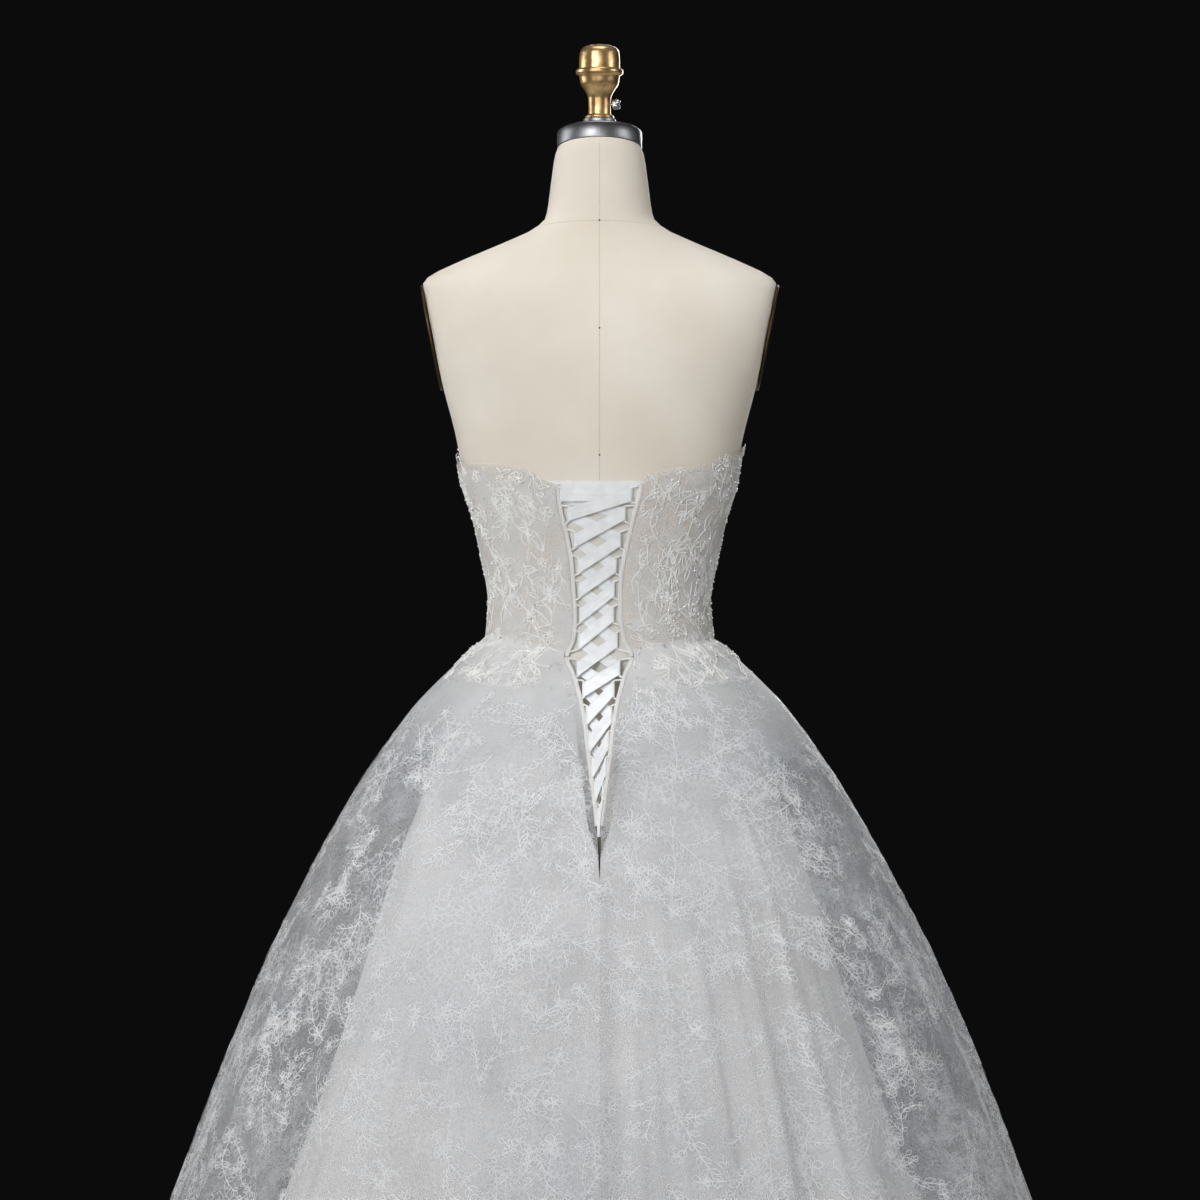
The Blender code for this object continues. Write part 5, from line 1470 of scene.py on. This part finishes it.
def loop_across(side, row):
    """How far across the upright stretch of this row's loop is."""
    return LACING[row][1 if side < 0 else 2] - LOOP_RADIUS - FOLD_CLEARANCE - SOLID_RIBBON_THICK


def loop_route(side, row, low, high):
    """The route of one cord loop, as across and height: out of the piping, along the fold and back."""
    middle = LACING[row][0]
    above = (middle + LACING[row - 1][0]) / 2 if row else high
    below = (middle + LACING[row + 1][0]) / 2 if row + 1 < len(LACING) else middle - LAST_LOOP_DROP
    above = min(above - LOOPS_APART, high - LOOP_RADIUS)
    below = max(below + LOOPS_APART, low + LOOP_RADIUS)
    tip = loop_across(side, row)
    upright = ribbon_rise(row) / 2 + LOOP_BEYOND_FOLD
    corner = upright + LOOP_RADIUS + LOOP_BEYOND_FOLD
    rooted = PIPING_WIDE / 2
    return [
        (float(opening_edge(side, above)) + rooted, above),
        (tip + LOOP_SLOPE, min(middle + corner, above)),
        (tip, middle + upright),
        (tip, middle - upright),
        (tip + LOOP_SLOPE, max(middle - corner, below)),
        (float(opening_edge(side, below)) + rooted, below),
    ]


def rounded(route, steps):
    """A route with its corners rounded, as evenly spaced places."""
    route = np.array(route)
    for _ in range(CORNER_CUTS):
        cut = [route[0]]
        for here, there in zip(route, route[1:]):
            cut.append(here * (1 - CORNER_CUT) + there * CORNER_CUT)
            cut.append(here * CORNER_CUT + there * (1 - CORNER_CUT))
        cut.append(route[-1])
        route = np.array(cut)
    along = np.concatenate([[0], np.cumsum(np.linalg.norm(np.diff(route, axis=0), axis=1))])
    at = np.linspace(0, along[-1], steps)
    return np.stack([np.interp(at, along, route[:, column]) for column in (0, 1)], axis=1)


def tube(routes, side, radius, level, sides, flatness=1.0):
    """Points and faces of round or flattened cords along routes on the back."""
    points = []
    faces = []
    start = 0
    for route in routes:
        along = np.gradient(route, axis=0)
        along /= np.linalg.norm(along, axis=1)[:, None]
        turn = np.linspace(0, 2 * math.pi, sides, endpoint=False)[None, :]
        out = radius * np.cos(turn)
        across = route[:, :1] - along[:, 1:] * out
        height = route[:, 1:] + along[:, :1] * out
        ring = on_back(side * across, height, level + flatness * radius * np.sin(turn))
        points.append(ring.reshape(-1, 3))
        faces.append(grid_faces(len(route), sides, closed=True) + start)
        start += len(route) * sides
    return np.concatenate(points), np.concatenate(faces)


# Satin cord: white and glossy. Its strands lie 0.8 mm apart, drawn 1.2 mm apart so that they show
cord_satin, tree, shader, place = finish("white_satin_cord", roughness=0.45, sheen_weight=0.2)
mottled(tree, shader, place, 80.0, "#E4E4E2", "#F2F2F0")
strands = {"Vector": place, "Scale": 260, "Distortion": 1.0}
twist = node(tree, "ShaderNodeTexWave", strands, bands_direction="DIAGONAL")
relief = {"Height": twist.outputs["Fac"], "Distance": 0.15 * MM, "Strength": 0.4}
node(tree, "ShaderNodeBump", relief, to=shader.inputs["Normal"])

seam = float(seam_height(math.radians(SEAM_EDGE_ANGLE)))
for side, label in ((-1, "left"), (1, "right")):
    for part, low, high, rows in (
        ("bodice", seam + SEAM_EDGE_GAP, PIPING_TOP, range(BODICE_LOOPS)),
        ("skirt", PIPING_END, seam - SEAM_EDGE_GAP, range(BODICE_LOOPS, len(LACING))),
    ):
        routes = [rounded(loop_route(side, row, low, high), LOOP_STEPS) for row in rows]
        height = np.linspace(low, high, ROLL_STEPS)
        roll = np.stack([opening_edge(side, height) + ROLL_OUT, height], axis=1)
        cords, cord_faces = tube(routes, side, CORD_RADIUS, LOOP_LEVEL, CORD_SIDES)
        piping, piping_faces = tube([roll], side, ROLL_RADIUS, LOOP_LEVEL, ROLL_SIDES, ROLL_FLATNESS)
        points = np.concatenate([cords, piping])
        faces = np.concatenate([cord_faces, piping_faces + len(cords)])
        made = mesh_from(part + "_loops_" + label + "_cords", points, faces)
        dress(made, cord_satin, "satin", part + "_loops_" + label)
        made.data.materials.append(lace_thread)
        looks = np.repeat([0, 1], [len(cord_faces), len(piping_faces)])
        made.data.polygons.foreach_set("material_index", looks)


# Lacing ribbon: one white satin ribbon, 12.7 mm wide, up one zigzag, across the top and down the other,
# folded upright round each loop, with fine lengthwise creases where it is drawn tight.
RIBBON_TAIL = (
    # across, below the last row, half across, half tall
    (0.0030, 0.006, 0.0020, 0.0070),
    (0.0008, 0.014, 0.0026, 0.0030),
    (-0.0008, 0.024, 0.0022, 0.0004),
    (-0.0010, 0.036, 0.0016, 0.0),
    (-0.0012, 0.046, 0.0010, 0.0),
)
# A span longer than this is cut into steps, and the ribbon is creased where it stands taller than the tails
LONG_SPAN, SPAN_STEPS, CREASED_OVER = 0.006, 14, 4 * MM
RIBBON_COLUMNS, FOLD_STEPS, CREASE_DEEP = 11, 9, 0.45 * MM

# Satin ribbon: the brightest cloth of the dress, cool white, with light drawn out along its length
ribbon_satin, tree, shader, place = finish(
    "white_satin_ribbon", roughness=0.33, sheen_weight=0.2, anisotropic=0.4
)
mottled(tree, shader, place, 90.0, "#E9ECEF", "#F4F6F8")
fine = node(tree, "ShaderNodeTexNoise", {"Vector": place, "Scale": 900, "Detail": 3})
relief = {"Height": fine.outputs["Fac"], "Distance": 0.1 * MM, "Strength": 0.3}
node(tree, "ShaderNodeBump", relief, to=shader.inputs["Normal"])


def ribbon_fold(side, row):
    """The ribbon round one loop: places as across, height, level, half across and half tall."""
    radius = LOOP_RADIUS + FOLD_CLEARANCE + SOLID_RIBBON_THICK / 2
    places = []
    for turn in np.radians(np.linspace(-90, 90, FOLD_STEPS)):
        across = loop_across(side, row) + radius * math.cos(turn)
        level = LOOP_LEVEL + (RIBBON_OVER - RIBBON_UNDER) / 2 * math.sin(side * turn)
        places.append((side * across, LACING[row][0], level, 0, ribbon_rise(row) / 2))
    return places


def ribbon_zigzag(side):
    """Half of the lacing, from the fold of its first row down to its tail."""
    places = []
    for row in range(len(LACING)):
        last = side
        places += ribbon_fold(side, row)
        side = -side
    level = RIBBON_UNDER if last < 0 else RIBBON_OVER
    for across, below, half_across, half_tall in RIBBON_TAIL:
        places.append((last * across, LACING[-1][0] - below, level, last * half_across, half_tall))
    return places


places = list(reversed(ribbon_zigzag(-1))) + ribbon_zigzag(1)
dense = [places[0]]
for here, there in zip(places, places[1:]):
    plain = abs(here[3]) + abs(there[3]) == 0
    steps = SPAN_STEPS if abs(here[0] - there[0]) > LONG_SPAN and plain else 1
    for step in range(1, steps + 1):
        share = step / steps
        dense.append(tuple(a + (b - a) * share for a, b in zip(here, there)))
across, height, level, half_across, half_tall = np.array(dense).T[:, :, None]
path = np.concatenate([across, level], axis=1)
along = np.gradient(path, axis=0)
along /= np.maximum(np.linalg.norm(along, axis=1), 1e-9)[:, None]
edge = np.linspace(-1, 1, RIBBON_COLUMNS)[None, :]
step = np.arange(len(dense))[:, None]
crease = np.sin(edge * 7.0 + 0.9 * np.sin(step * 0.11))
crease = crease + 0.6 * np.sin(edge * 13.0 + 1.3 * np.sin(step * 0.07 + 2))
crease = crease * CREASE_DEEP / 2 * (1 - edge**4) * (half_tall > CREASED_OVER)
sides = []
for lift in (RIBBON_THICK / 2, -RIBBON_THICK / 2):
    offset = lift + crease * 0.5
    x = across - along[:, 1:] * offset + edge * half_across
    z = height + edge * half_tall
    sides.append(on_back(x, z, level + along[:, :1] * offset))
made = wall("lacing_ribbon_satin", sides[0], sides[1])
dress(made, ribbon_satin, "satin", "lacing_ribbon")
